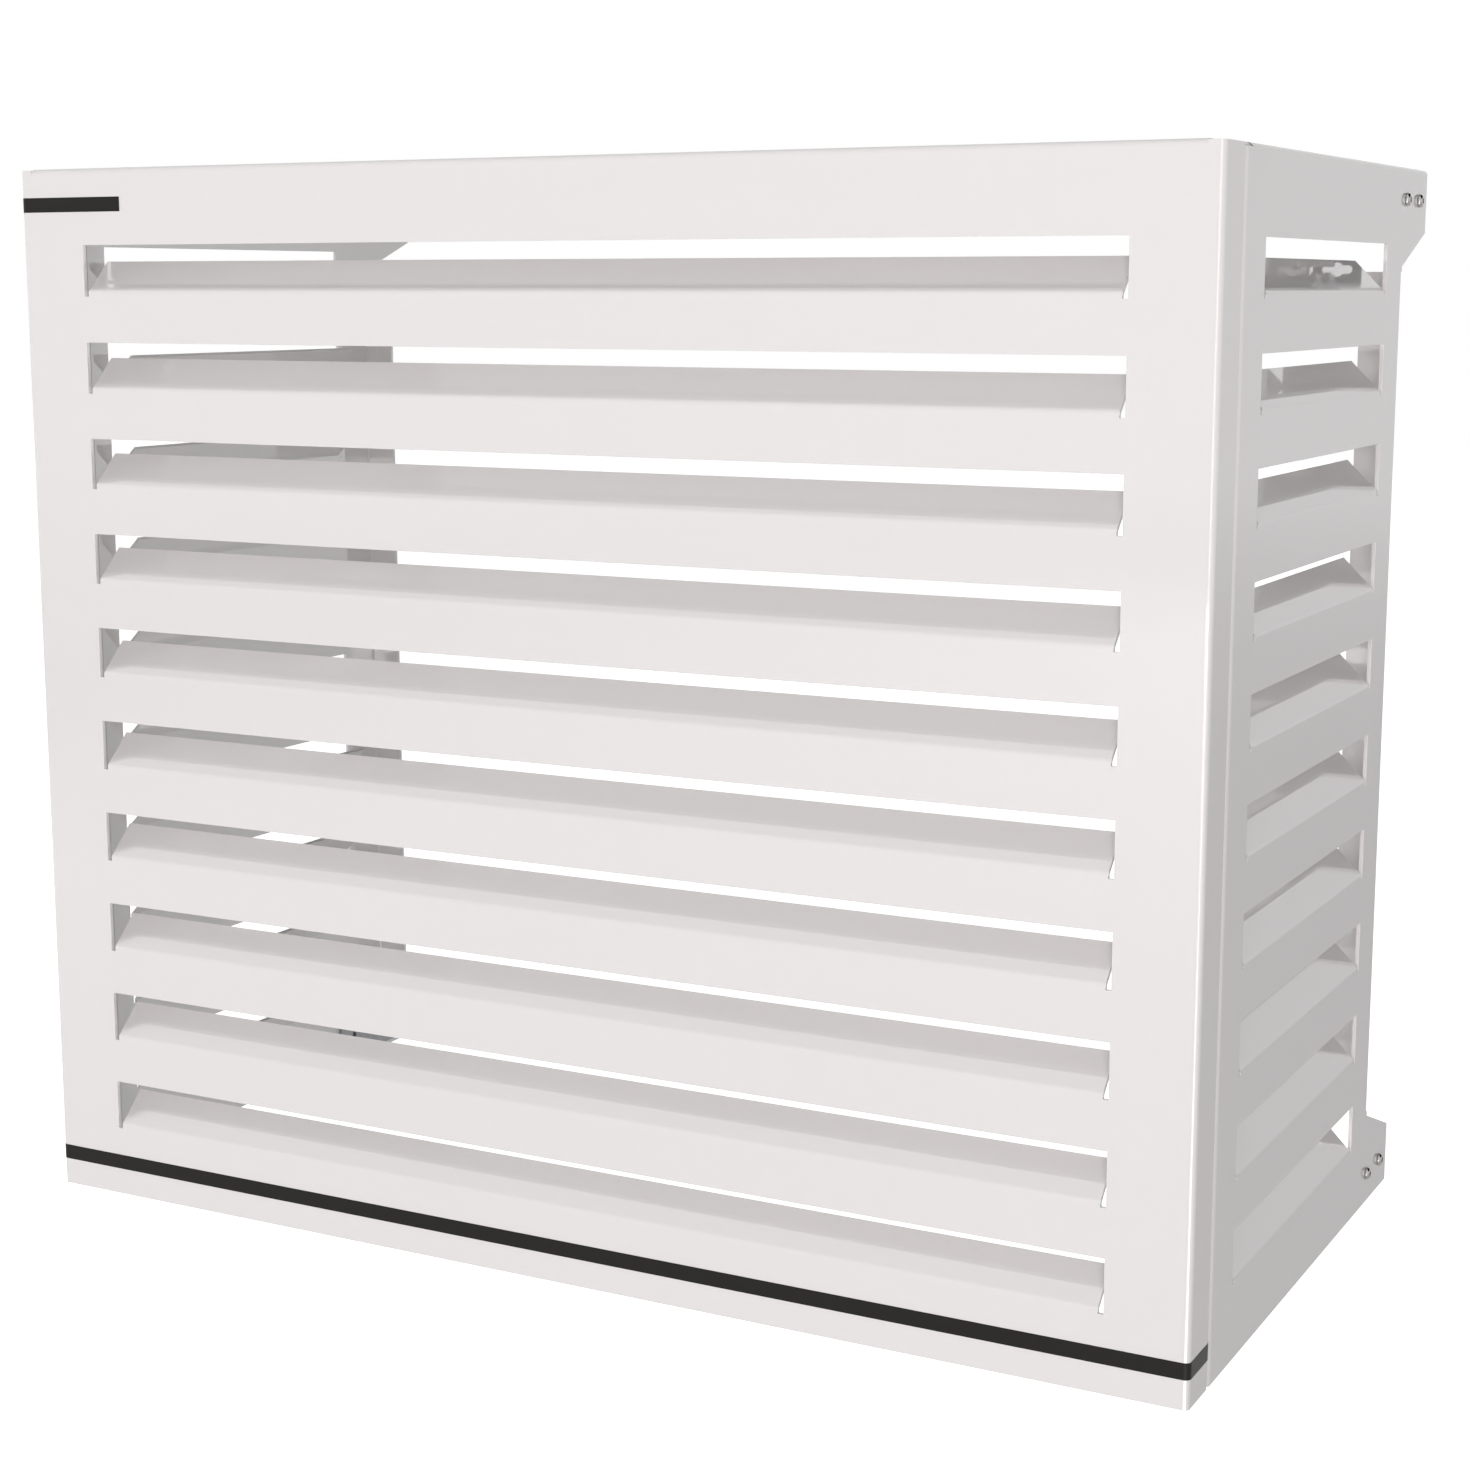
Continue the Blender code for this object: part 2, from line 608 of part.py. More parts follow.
def stripe(name, bottom, height, left, right, film):
    """Film stripe on the front face that wraps round each corner it reaches."""
    bm = bmesh.new()
    lift = FIT_GAP + FILM
    fold = HALF_WIDTH - BEND
    top = bottom + height
    flat_skin(bm, [(left, bottom), (right, bottom), (right, top), (left, top)])
    for end, side in ((left, -1), (right, 1)):
        if abs(end) < fold:
            continue
        line = [flat_point(end, bottom), flat_point(end, top)]
        line, heading, outward = folded_strip(
            bm, line, ACROSS * side, OUTWARD, QUARTER, BEND + lift, RETURN_DEPTH - 2 * BEND)
        folded_strip(bm, line, heading, outward, STRIPE_WRAP, BEND + lift, 0)
    band = sheet_object(name, bm, FILM, film)
    band.location = (0, FRONT_Y - lift, 0)


def stripes(film):
    """The long stripe near the bottom and the short one at the top left corner."""
    fold = HALF_WIDTH - BEND
    stripe("bottom_stripe", LOW_STRIPE_BOTTOM, LOW_STRIPE_HEIGHT, -fold, fold, film)
    bottom = HEIGHT - HIGH_STRIPE_BELOW_TOP
    stripe("top_stripe", bottom, HIGH_STRIPE_HEIGHT, -fold, HIGH_STRIPE_LENGTH - HALF_WIDTH, film)


def main():
    clear_scene()
    paint = surface("white_powder_coat", (0.80, 0.79, 0.78), 0.25, 0.0)
    roof_paint = surface("white_powder_coat_roof", (0.80, 0.79, 0.78), 0.3, 0.0)
    bracket_steel = surface("galvanised_steel", (0.33, 0.33, 0.34), 0.35, 1.0)
    screw_steel = surface("stainless_steel", (0.62, 0.61, 0.60), 0.15, 1.0)
    zinc = surface("zinc_plate", (0.55, 0.56, 0.58), 0.3, 1.0)
    aluminium = surface("rivet_aluminium", (0.75, 0.75, 0.76), 0.3, 1.0)
    film = surface("charcoal_film", (0.035, 0.034, 0.033), 0.35, 0.0)
    front_panel(paint)
    for side_name, side in SIDES.items():
        side_panel("side_panel_" + side_name, side, paint)
        joint_fasteners(side_name, zinc)
        roof_rivets(side_name, aluminium)
        for level_name, level in LEVELS.items():
            name = f"wall_bracket_{level_name}_{side_name}"
            wall_bracket(name, side, level, bracket_steel)
            ear_fasteners(side_name, level_name, screw_steel)
    roof_panel(roof_paint)
    stripes(film)


main()
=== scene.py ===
import math

import bmesh
import bpy
from bpy.props import FloatProperty, FloatVectorProperty, IntProperty, PointerProperty
from mathutils import Matrix, Vector


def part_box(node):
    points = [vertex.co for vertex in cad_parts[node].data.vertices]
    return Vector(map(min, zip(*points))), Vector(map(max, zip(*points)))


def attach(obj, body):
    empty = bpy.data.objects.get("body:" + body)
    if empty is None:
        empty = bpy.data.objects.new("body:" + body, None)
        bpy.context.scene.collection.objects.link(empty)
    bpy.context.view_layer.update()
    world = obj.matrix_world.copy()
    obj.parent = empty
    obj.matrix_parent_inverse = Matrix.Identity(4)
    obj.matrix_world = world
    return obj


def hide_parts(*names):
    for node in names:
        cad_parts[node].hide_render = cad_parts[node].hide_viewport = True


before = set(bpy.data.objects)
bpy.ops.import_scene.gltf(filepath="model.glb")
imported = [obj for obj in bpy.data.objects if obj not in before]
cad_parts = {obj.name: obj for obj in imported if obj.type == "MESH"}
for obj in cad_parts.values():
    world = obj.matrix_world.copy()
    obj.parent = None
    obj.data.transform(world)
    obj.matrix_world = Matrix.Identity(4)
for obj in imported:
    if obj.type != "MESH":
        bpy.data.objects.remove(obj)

bl_info = {
    "name": "Louvred air conditioner screen",
    "version": (1, 0, 0),
    "blender": (4, 5, 0),
    "location": "3D View > Sidebar > Screen",
    "description": "Fine sheet metal, fasteners, finishes and a studio for the louvred screen",
    "category": "Object",
}

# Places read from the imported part
PANEL_LOW, PANEL_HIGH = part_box("front_panel")
SIDE_LOW, SIDE_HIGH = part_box("side_panel_right")
ROOF_LOW, ROOF_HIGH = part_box("roof_panel")
FRONT_Y = round(PANEL_LOW.y, 4)

INWARD = Vector((0, 1, 0))
OUTWARD = Vector((0, -1, 0))
ACROSS = Vector((1, 0, 0))
UP = Vector((0, 0, 1))
AXES = (ACROSS, INWARD, UP)
QUARTER = math.pi / 2
WHITE = (1, 1, 1)
BODY = "root"

SIDES = {"left": -1, "right": 1}
LEVELS = ("top", "bottom")
FINISH_OF_SLOT = {
    "white_powder_coat": "gloss_powder_coat", "charcoal_film": "satin_film",
    "galvanised_steel": "spangled_steel", "stainless_steel": "polished_steel",
    "zinc_plate": "bright_zinc", "rivet_aluminium": "satin_aluminium"}

# Fineness of the meshes
FOLD_STEPS_PER_QUARTER = 12
ROUND_SIDES = 48
ARC_STEPS = 12
THREAD_STEPS = 6
SCREW_DOME_STEPS = 9
RIVET_DOME_STEPS = 8
RIVET_TAIL_STEPS = 7
WELD = 0.000001
SHARP_EDGE = math.radians(40)
SHORT_EDGE = 0.001

# Small forms of the fasteners and the stripes
CHAMFER = 0.0003
SOFT_EDGE = 0.00015
SCREW_SOFT_EDGE = 0.0002
SCREW_RIM = 0.0007
SOCKET_TIP = 0.0009
BOLT_HEAD = 0.004
RIVET_HEAD = 0.0014
RIVET_RIM = 0.0003
RIVET_TAIL = 0.003
RIVET_BORE = 0.0015
PIN_RINGS = ((0.0003, 0.0012), (0.0006, 0.0011), (0.0005, 0.0007))
STRIPE_LIFT = 0.0003
STRIPE_EDGE_ROUND = 0.00004
STRIPE_END_ANGLE = math.radians(60)

# Shares of half a socket, half a hexagon, a thread's depth, a rivet's tail and a stripe's lift
SCREW_CROWN = 1.32
SOCKET_MOUTH = 1.24
HEXAGON_FACE = 0.97
THREAD_TAPER = 1.4
RIVET_TAIL_END = 0.55
STRIPE_THICKNESS = 0.9

# The floor's half width and unevenness, and the share of the card that is fully black
FLOOR_REACH = 14
FLOOR_MOTTLE = 0.004
CARD_CORE = 0.8

# Galvanised steel: crystals to the metre, and how far their tones differ
CRYSTALS = 180
CRYSTAL_DRIFT = 0.12

# Each lamp's place, target, size and tint, and whether reflections and plain light show it
LAMPS = {
    "front_lamp": ((2.2, -7.0, 1.0), (0, 0, 0.4), (4.4, 2.6), (1.0, 0.955, 0.96), False, True),
    "strip_lamp": ((2.5, -4.6, 1.2), (0, 0, 1.2), (0.9, 3.0), (1.0, 0.85, 0.83), True, True),
    "low_strip_lamp": ((1.3, -2.0, -0.2), (1.279, -1.955, 0.8), (0.5, 3.2), WHITE, True, False),
    "left_lamp": ((-4.0, -1.0, 1.5), (0, 0, 0.4), (2.0, 2.0), WHITE, False, True),
    "rear_lamp": ((-2.5, 4.0, 1.5), (0, 0, 0.4), (3.0, 3.0), WHITE, False, True)}


def length(label, text, default):
    """A size in metres for the sidebar."""
    return FloatProperty(name=label, description=text, default=default, min=0,
                         unit="LENGTH", subtype="DISTANCE", precision=5)


def rotation(label, text, degrees):
    """An angle for the sidebar."""
    return FloatProperty(name=label, description=text, default=math.radians(degrees),
                         unit="ROTATION", subtype="ANGLE")


def colour(label, text, default):
    """A finish colour for the sidebar."""
    return FloatVectorProperty(name=label, description=text, default=default, size=3,
                               min=0, max=1, subtype="COLOR")


def share(label, text, default, top=1.0):
    """A plain number for the sidebar."""
    return FloatProperty(name=label, description=text, default=default, min=0, max=top)


def vector(label, text, default, subtype="DIRECTION", unit="NONE"):
    """A direction or a place for the sidebar."""
    return FloatVectorProperty(name=label, description=text, default=default,
                               subtype=subtype, unit=unit)


def seam_labels(side_name):
    """Ends of the node names along one side's joint."""
    return [f"{side_name}_{number}" for number in (1, 2, 3)]


def ear_labels(side_name):
    """Ends of the node names in one side's ears."""
    return [f"{level_name}_{side_name}_{number}" for level_name in LEVELS for number in (1, 2)]


SEAM_LABELS = seam_labels("left") + seam_labels("right")


class ScreenSheetSizes(bpy.types.PropertyGroup):
    """Sizes of the folded sheets."""
    sheet: length("Sheet", "Thickness of the sheet metal", 0.003)
    bend: length("Bend", "Outer radius of every fold in a panel", 0.0045)
    edge_round: length("Edge rounding", "Rounding of the coated cut edges", 0.00025)
    slit: length("Tear slit", "Width of the slits at a fold's end", 0.00008)
    width: length("Width", "Width of the front", round(PANEL_HIGH.x - PANEL_LOW.x, 4))
    height: length("Height", "Height of the panels", round(PANEL_HIGH.z, 4))
    return_depth: length("Return depth", "Depth of the front's returns",
                         round(PANEL_HIGH.y - PANEL_LOW.y, 4))
    seam: length("Seam", "Depth where the side panels start", round(SIDE_LOW.y - FRONT_Y, 4))
    body_depth: length("Body depth", "Depth of the side panels between the ears", 0.465)
    ear_end: length("Ear end", "Depth of the ears' ends", round(SIDE_HIGH.y - FRONT_Y, 4))
    ear_height: length("Ear height", "Height of an ear's end", 0.050)
    ear_slope: length("Ear slope", "Height of the slope behind an ear", 0.027)
    top_flange: length("Top flange", "Width of the flanges along the top", 0.030)
    back_flange: length("Back flange", "Width of the side panels' back flanges", 0.032)
    joint_flange: length("Joint flange", "Width of the flanges behind the corners", 0.027)
    front_corner: length("Front corner", "Open end of the front's top fold", 0.012)
    side_corner: length("Side corner", "Open end of the sides' top fold", 0.0136)
    side_drop: length("Side corner drop", "How low the sides' front corners sit", 0.003)
    edge_drop: length("Edge drop", "How low an edge sits beside a fold", 0.0008)
    flange_inset: length("Flange end inset", "Flange end's distance from an edge", 0.004)


class ScreenLouvreSizes(bpy.types.PropertyGroup):
    """Sizes of the lanced louvres."""
    rows: IntProperty(name="Rows", description="Louvre rows in each panel", default=10, min=1)
    margin: length("Margin", "Plain band above and below the rows", 0.060)
    front_end: length("Front end margin", "Plain band beside the front's slots", 0.0625)
    side_end: length("Side end margin", "Plain band beside the sides' slots", 0.0485)
    angle: rotation("Blade angle", "How far each blade folds inward", 45)
    flat: length("Blade flat", "Flat part of each blade", 0.032)
    relief_width: length("Relief width", "Width of the notches beside a blade", 0.004)
    relief_depth: length("Relief depth", "Depth of the notches below a blade", 0.002)


class ScreenBracketSizes(bpy.types.PropertyGroup):
    """Sizes of the wall brackets and the roof tray."""
    bend: length("Bracket bend", "Outer radius of a bracket's fold", 0.005)
    wall_leg: length("Wall leg", "Width of the leg on the wall", 0.030)
    hole_pitch: length("Hole pitch", "Distance between adjustment holes", 0.020)
    hole_count: IntProperty(name="Holes", description="Adjustment holes in a bracket",
                            default=6, min=2)
    rear_hole: length("Rear hole", "Depth of the rearmost hole", 0.510)
    keyhole_inset: length("Keyhole inset", "Keyhole's distance from the outer leg", 0.0147)
    keyhole_radius: length("Keyhole radius", "Radius of the keyhole's round middle", 0.006)
    slot_width: length("Slot width", "Width of the keyhole's slot", 0.007)
    slot_length: length("Slot length", "Length of the keyhole's slot", 0.026)
    roof_lip_inset: length("Roof lip inset", "How far the roof's lips end from its sides", 0.008)


class ScreenFastenerSizes(bpy.types.PropertyGroup):
    """Sizes of the screws, washers, nuts, bolts and rivets."""
    shank: length("Shank radius", "Radius of an M6 thread", 0.003)
    hole: length("Hole radius", "Radius of the holes for M6", 0.0033)
    pitch: length("Thread pitch", "Pitch of an M6 thread", 0.001)
    thread_depth: length("Thread depth", "Depth of the thread's grooves", 0.0005)
    dome: length("Screw head radius", "Radius of a button head", 0.00525)
    dome_height: length("Screw head height", "Height of a button head", 0.0033)
    socket: length("Socket", "Socket's width across flats", 0.004)
    socket_depth: length("Socket depth", "Depth of the socket", 0.002)
    nut_across: length("Nut", "Width of a nut or bolt head across flats", 0.010)
    washer: length("Washer radius", "Outer radius of a washer", 0.006)
    rivet: length("Rivet radius", "Radius of a rivet's shank", 0.0024)
    rivet_head: length("Rivet head radius", "Radius of a rivet's head", 0.00475)
    rivet_tail: length("Rivet tail radius", "Radius of a rivet's tail", 0.0033)


class ScreenFinishes(bpy.types.PropertyGroup):
    """Colours and gloss of the finishes."""
    coat: colour("Powder coat", "Colour of the white powder coat", (0.86, 0.845, 0.84))
    coat_gloss: share("Coat roughness", "Roughness of the powder coat", 0.035)
    film: colour("Film", "Colour of the stripes' film", (0.022, 0.021, 0.020))
    film_gloss: share("Film roughness", "Roughness of the film", 0.30)
    galvanised: colour("Galvanised steel", "Colour of the brackets", (0.33, 0.33, 0.34))
    stainless: colour("Stainless steel", "Colour of the ear fasteners", (0.48, 0.47, 0.46))
    zinc: colour("Zinc plate", "Colour of the joint bolts", (0.55, 0.56, 0.58))
    aluminium: colour("Aluminium", "Colour of the rivets", (0.75, 0.75, 0.76))


class ScreenStudio(bpy.types.PropertyGroup):
    """Camera, surroundings, floor and lamps."""
    camera_place: vector("Camera place", "Where the camera stands",
                         (1.012, -1.8994, 0.757), "TRANSLATION", "LENGTH")
    camera_aim: vector("Camera aim", "Where the camera looks",
                       (-0.4593, 0.8725, -0.1668))
    lens: FloatProperty(name="Lens", description="Focal length in millimetres",
                        default=63.981, min=1)
    shift: FloatVectorProperty(name="Shift", description="Shift of the lens", size=2,
                               default=(-0.0031, -0.0040))
    sky: share("Sky", "Brightness of the surroundings for diffuse light", 0.28, 5)
    front_lamp: share("Front lamp", "Power in watts", 255, 1000)
    strip_lamp: share("Strip lamp", "Power in watts", 18, 1000)
    low_strip_lamp: share("Low strip lamp", "Power in watts", 10, 1000)
    left_lamp: share("Left lamp", "Power in watts", 36, 1000)
    rear_lamp: share("Rear lamp", "Power in watts", 14, 1000)
    card: vector("Black card", "Direction of the card that the screws mirror", (0.55, 0.42, 0.72))
    card_reach: rotation("Card reach", "Angle from the card's middle to its edge", 38)
    floor_tone: colour("Floor", "Colour of the floor", (0.86, 0.86, 0.86))
    floor_drop: length("Floor drop", "How far the floor lies below the screen", 0.30)
    floor_lift: share("Floor lift", "Light that the floor gives to the camera", 0.9, 5)
    mirror_lift: share("Mirror lift", "Light that the floor gives to reflections", 0.32, 5)
    front_lift: share("Front lift", "The same, for its front part", 0.5, 5)
    far_lift: share("Far lift", "The same, for its far part", 0.76, 5)


# Node groups

def new_group(name, inputs, outputs):
    """A shader node group whose inputs are a place and the numbers or colours given."""
    tree = bpy.data.node_groups.new(name, "ShaderNodeTree")
    sockets = tree.interface
    sockets.new_socket(name="Place", in_out="INPUT", socket_type="NodeSocketVector")
    for label, value in inputs.items():
        kind = "NodeSocketColor" if isinstance(value, tuple) else "NodeSocketFloat"
        socket = sockets.new_socket(name=label, in_out="INPUT", socket_type=kind)
        socket.default_value = value
    for label, kind in outputs.items():
        sockets.new_socket(name=label, in_out="OUTPUT", socket_type=kind)
    return tree, tree.nodes.new("NodeGroupInput").outputs, tree.nodes.new("NodeGroupOutput").inputs


def add_node(tree, kind, *values, **settings):
    """Adds a shader node; its inputs take the values in order, as numbers or as links."""
    node = tree.nodes.new("ShaderNode" + kind)
    for name, setting in settings.items():
        setattr(node, name, setting)
    for value, socket in zip(values, node.inputs):
        if isinstance(value, bpy.types.NodeSocket):
            tree.links.new(value, socket)
        elif value is not None:
            socket.default_value = value
    return node.outputs


def math_node(tree, operation, *values):
    """Result of a math node over numbers or sockets."""
    return add_node(tree, "Math", *values, operation=operation)[0]


def vector_node(tree, operation, *values):
    """Outputs of a vector math node."""
    return add_node(tree, "VectorMath", *values, operation=operation)


def ramp(tree, value, low, high, start=0.0, end=1.0, shape="LINEAR"):
    """Runs from low to high while a value runs from start to end."""
    return add_node(tree, "MapRange", value, start, end, low, high,
                    interpolation_type=shape)["Result"]


def noise_node(tree, vector, scale, detail):
    """A noise texture over a vector; its scale is a number or a socket."""
    return add_node(tree, "TexNoise", vector, None, scale, detail)["Fac"]


def patches(tree, entry, size, detail):
    """Noise over a group's place, with patches of a size that is one of its inputs."""
    scale = math_node(tree, "DIVIDE", 1.0, entry[size])
    return noise_node(tree, entry["Place"], scale, detail)


def ripple_group():
    """Small waves of a coated or rolled surface, as a height."""
    tree, entry, end = new_group(
        "surface_ripple", {"Wave Size": 0.0012, "Grain Size": 0.0003, "Grain Share": 0.2},
        {"Height": "NodeSocketFloat"})
    waves = patches(tree, entry, "Wave Size", 1.0)
    grain = patches(tree, entry, "Grain Size", 2.0)
    height = math_node(tree, "MULTIPLY_ADD", grain, entry["Grain Share"], waves)
    tree.links.new(height, end["Height"])


def drift_group():
    """Slow drift of a tone over a surface, in its colour and its roughness."""
    tree, entry, end = new_group(
        "tone_drift", {"Colour": (0.8, 0.8, 0.8, 1), "Roughness": 0.2, "Patch Size": 0.15,
                       "Tone Drift": 0.02, "Gloss Drift": 0.1},
        {"Colour": "NodeSocketColor", "Roughness": "NodeSocketFloat"})
    swing = math_node(tree, "MULTIPLY_ADD", patches(tree, entry, "Patch Size", 3.0), 2.0, -1.0)
    tone = math_node(tree, "MULTIPLY_ADD", swing, entry["Tone Drift"], 1.0)
    gloss = math_node(tree, "MULTIPLY_ADD", swing, entry["Gloss Drift"], 1.0)
    tree.links.new(vector_node(tree, "SCALE", entry["Colour"], None, None, tone)[0],
                   end["Colour"])
    tree.links.new(math_node(tree, "MULTIPLY", gloss, entry["Roughness"]), end["Roughness"])


# Finishes

def new_material(name):
    """A new material's node tree, its Principled shader's inputs and object coordinates."""
    material = bpy.data.materials.new(name)
    material.use_nodes = True
    tree = material.node_tree
    return tree, tree.nodes["Principled BSDF"].inputs, add_node(tree, "TexCoord")["Object"]


def new_finish(slot, tone, roughness, drift, waves, depth, ior=None):
    """A finish with a slow drift of its tone and fine waves; one without an IOR is metal.

    The drift is a patch size and how far tone and gloss go; the waves are a wave size,
    a grain size and the grain's share.
    """
    groups = bpy.data.node_groups
    tree, shader, place = new_material(FINISH_OF_SLOT[slot])
    drifting = add_node(tree, "Group", place, (*tone, 1), roughness, *drift,
                        node_tree=groups["tone_drift"])
    tone = drifting["Colour"]
    if slot == "galvanised_steel":
        crystals = add_node(tree, "TexVoronoi", place, None, CRYSTALS)["Color"]
        spangle = ramp(tree, crystals, 1 - CRYSTAL_DRIFT, 1 + CRYSTAL_DRIFT)
        tone = vector_node(tree, "SCALE", tone, None, None, spangle)[0]
    tree.links.new(tone, shader["Base Color"])
    tree.links.new(drifting["Roughness"], shader["Roughness"])
    ripple = add_node(tree, "Group", place, *waves, node_tree=groups["surface_ripple"])
    bump = tree.nodes.new("ShaderNodeBump")
    bump.inputs["Distance"].default_value = depth
    tree.links.new(ripple["Height"], bump.inputs["Height"])
    tree.links.new(bump.outputs["Normal"], shader["Normal"])
    if ior is None:
        shader["Metallic"].default_value = 1.0
    else:
        shader["IOR"].default_value = ior


def make_finishes(finish):
    """Makes every finish once."""
    ripple_group()
    drift_group()
    new_finish("white_powder_coat", finish.coat, finish.coat_gloss, (0.20, 0.006, 0.15),
               (0.0018, 0.0004, 0.08), 0.000001, ior=2.6)
    new_finish("charcoal_film", finish.film, finish.film_gloss, (0.05, 0.04, 0.10),
               (0.0009, 0.00015, 0.5), 0.000004, ior=1.22)
    new_finish("galvanised_steel", finish.galvanised, 0.34, (0.02, 0.05, 0.15),
               (0.003, 0.0003, 0.4), 0.00001)
    for slot, tone, roughness, wave, depth in (
            ("stainless_steel", finish.stainless, 0.12, 0.0016, 0.000004),
            ("zinc_plate", finish.zinc, 0.28, 0.0010, 0.000008),
            ("rivet_aluminium", finish.aluminium, 0.30, 0.0010, 0.000008)):
        new_finish(slot, tone, roughness, (0.004, 0.04, 0.20), (wave, wave / 6, 0.3), depth)


# Sheet metal

def skin(bm, corners, outward):
    """Adds one flat face of a sheet's outer side, facing outward."""
    face = bm.faces.new([bm.verts.new(corner) for corner in corners])
    face.normal_update()
    if face.normal.dot(outward) < 0:
        face.normal_flip()


def flat_point(across, up):
    """A point on a panel's outer face, in the panel's own frame."""
    return Vector((across, 0, up))


def flat_skin(bm, outline):
    """Adds a face of a panel's outer side from (across, up) pairs."""
    skin(bm, [flat_point(across, up) for across, up in outline], OUTWARD)


def folded_strip(bm, line, heading, outward, angle, radius, flat, trim_share=0):
    """Folds the sheet inward along a straight edge and runs it on flat.

    Returns the last edge, its heading and its outward side.
    """
    steps = max(1, round(FOLD_STEPS_PER_QUARTER * angle / QUARTER))
    rows = [list(line)]
    for step in range(1, steps + 1):
        turn = angle * step / steps
        shift = heading * math.sin(turn) - outward * (1 - math.cos(turn))
        rows.append([point + shift * radius for point in line])
    new_heading = heading * math.cos(angle) - outward * math.sin(angle)
    new_outward = outward * math.cos(angle) + heading * math.sin(angle)
    if flat > 0:
        along = (line[-1] - line[0]).normalized() * flat * trim_share
        last = [point + new_heading * flat for point in rows[-1]]
        last[0] += along
        last[-1] -= along
        rows.append(last)
    for near, far in zip(rows, rows[1:]):
        for index in range(len(line) - 1):
            corners = [near[index], near[index + 1], far[index + 1], far[index]]
            skin(bm, corners, outward + new_outward)
    return rows[-1], new_heading, new_outward


def new_object(name, mesh):
    """Links a mesh into the scene as a new object."""
    item = bpy.data.objects.new(name, mesh)
    bpy.context.scene.collection.objects.link(item)
    return item


def mesh_from(name, bm):
    """Turns a bmesh into a mesh and frees it."""
    mesh = bpy.data.meshes.new(name)
    bm.to_mesh(mesh)
    bm.free()
    return mesh


def settle(item):
    """Bakes an object's modifiers into its mesh."""
    depsgraph = bpy.context.evaluated_depsgraph_get()
    mesh = bpy.data.meshes.new_from_object(item.evaluated_get(depsgraph))
    mesh.name = item.name
    item.modifiers.clear()
    item.data = mesh


def dress(item, slot, node):
    """Gives a piece its finish and its body, and hides the imported node it stands for."""
    item.data.materials.clear()
    item.data.materials.append(bpy.data.materials[FINISH_OF_SLOT[slot]])
    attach(item, BODY)
    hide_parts(node)


def has_room(edge, radius):
    """Whether no shorter edge beside an edge, as across a slit, would be overrun."""
    return all(other.calc_length() > 2 * radius
               for corner in edge.verts for other in corner.link_edges)


def round_edges(mesh, radius):
    """Rounds the long cut edges of a sheet, except beside its slits."""
    bm = bmesh.new()
    bm.from_mesh(mesh)
    cut_edges = [edge for edge in bm.edges
                 if edge.calc_face_angle(0) > SHARP_EDGE and edge.calc_length() > SHORT_EDGE
                 and has_room(edge, radius)]
    bmesh.ops.bevel(bm, geom=cut_edges, offset=radius, segments=2, profile=0.5,
                    affect="EDGES", clamp_overlap=False)
    bm.to_mesh(mesh)
    bm.free()


def sheet_piece(name, node, bm, thickness, edge_round, place, turn=0, mirrored=False,
                holes=None, slot="white_powder_coat"):
    """Thickens outer faces inward into a sheet, drills it and rounds its cut edges."""
    bmesh.ops.remove_doubles(bm, verts=bm.verts, dist=WELD)
    if mirrored:
        bmesh.ops.transform(bm, matrix=Matrix.Scale(-1, 4, INWARD), verts=bm.verts)
        bmesh.ops.reverse_faces(bm, faces=bm.faces)
    item = new_object(name, mesh_from(name, bm))
    item.location = place
    item.rotation_euler = (0, 0, turn)
    thicken = item.modifiers.new("thickness", "SOLIDIFY")
    thicken.thickness = thickness
    thicken.offset = -1
    thicken.solidify_mode = "NON_MANIFOLD"
    thicken.nonmanifold_thickness_mode = "CONSTRAINTS"
    thicken.nonmanifold_merge_threshold = WELD
    cutter = None
    if holes is not None:
        bmesh.ops.recalc_face_normals(holes, faces=holes.faces)
        cutter = new_object(name + "_drills", mesh_from(name + "_drills", holes))
        drill_through = item.modifiers.new("holes", "BOOLEAN")
        drill_through.operation = "DIFFERENCE"
        drill_through.object = cutter
    settle(item)
    round_edges(item.data, edge_round)
    if cutter is not None:
        bpy.data.objects.remove(cutter)
    item.data.shade_smooth()
    weigh = item.modifiers.new("even shading", "WEIGHTED_NORMAL")
    weigh.keep_sharp = False
    settle(item)
    dress(item, slot, node)


def placed_at(node, axis, level):
    """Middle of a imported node, moved along an axis to a level."""
    low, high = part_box(node)
    centre = (low + high) / 2
    centre[AXES.index(axis)] = level
    return centre


def drill(bm, sheet, centre, axis, radius):
    """Adds a drill that passes through one sheet at the centre given."""
    turn = UP.rotation_difference(axis).to_matrix().to_4x4()
    bmesh.ops.create_cone(bm, cap_ends=True, segments=ROUND_SIDES, radius1=radius,
                          radius2=radius, depth=2 * sheet.sheet,
                          matrix=Matrix.Translation(centre) @ turn)


def drill_at(bm, sheet, node, axis, level, radius):
    """Adds a drill for a fastener's node, through the sheet at a level on its axis."""
    drill(bm, sheet, placed_at(node, axis, level), axis, radius)


def upright(across, low, high):
    """An upright line on a panel's outer face."""
    return [flat_point(across, low), flat_point(across, high)]


def corner_edge(sheet, fold, crest, corner, slit):
    """Outline of a margin from the bottom up, beside a fold that ends below the top fold."""
    top_fold = sheet.height - sheet.bend
    return [(fold, 0), (fold, crest), (corner + slit, crest), (corner + slit, top_fold),
            (corner, top_fold)]


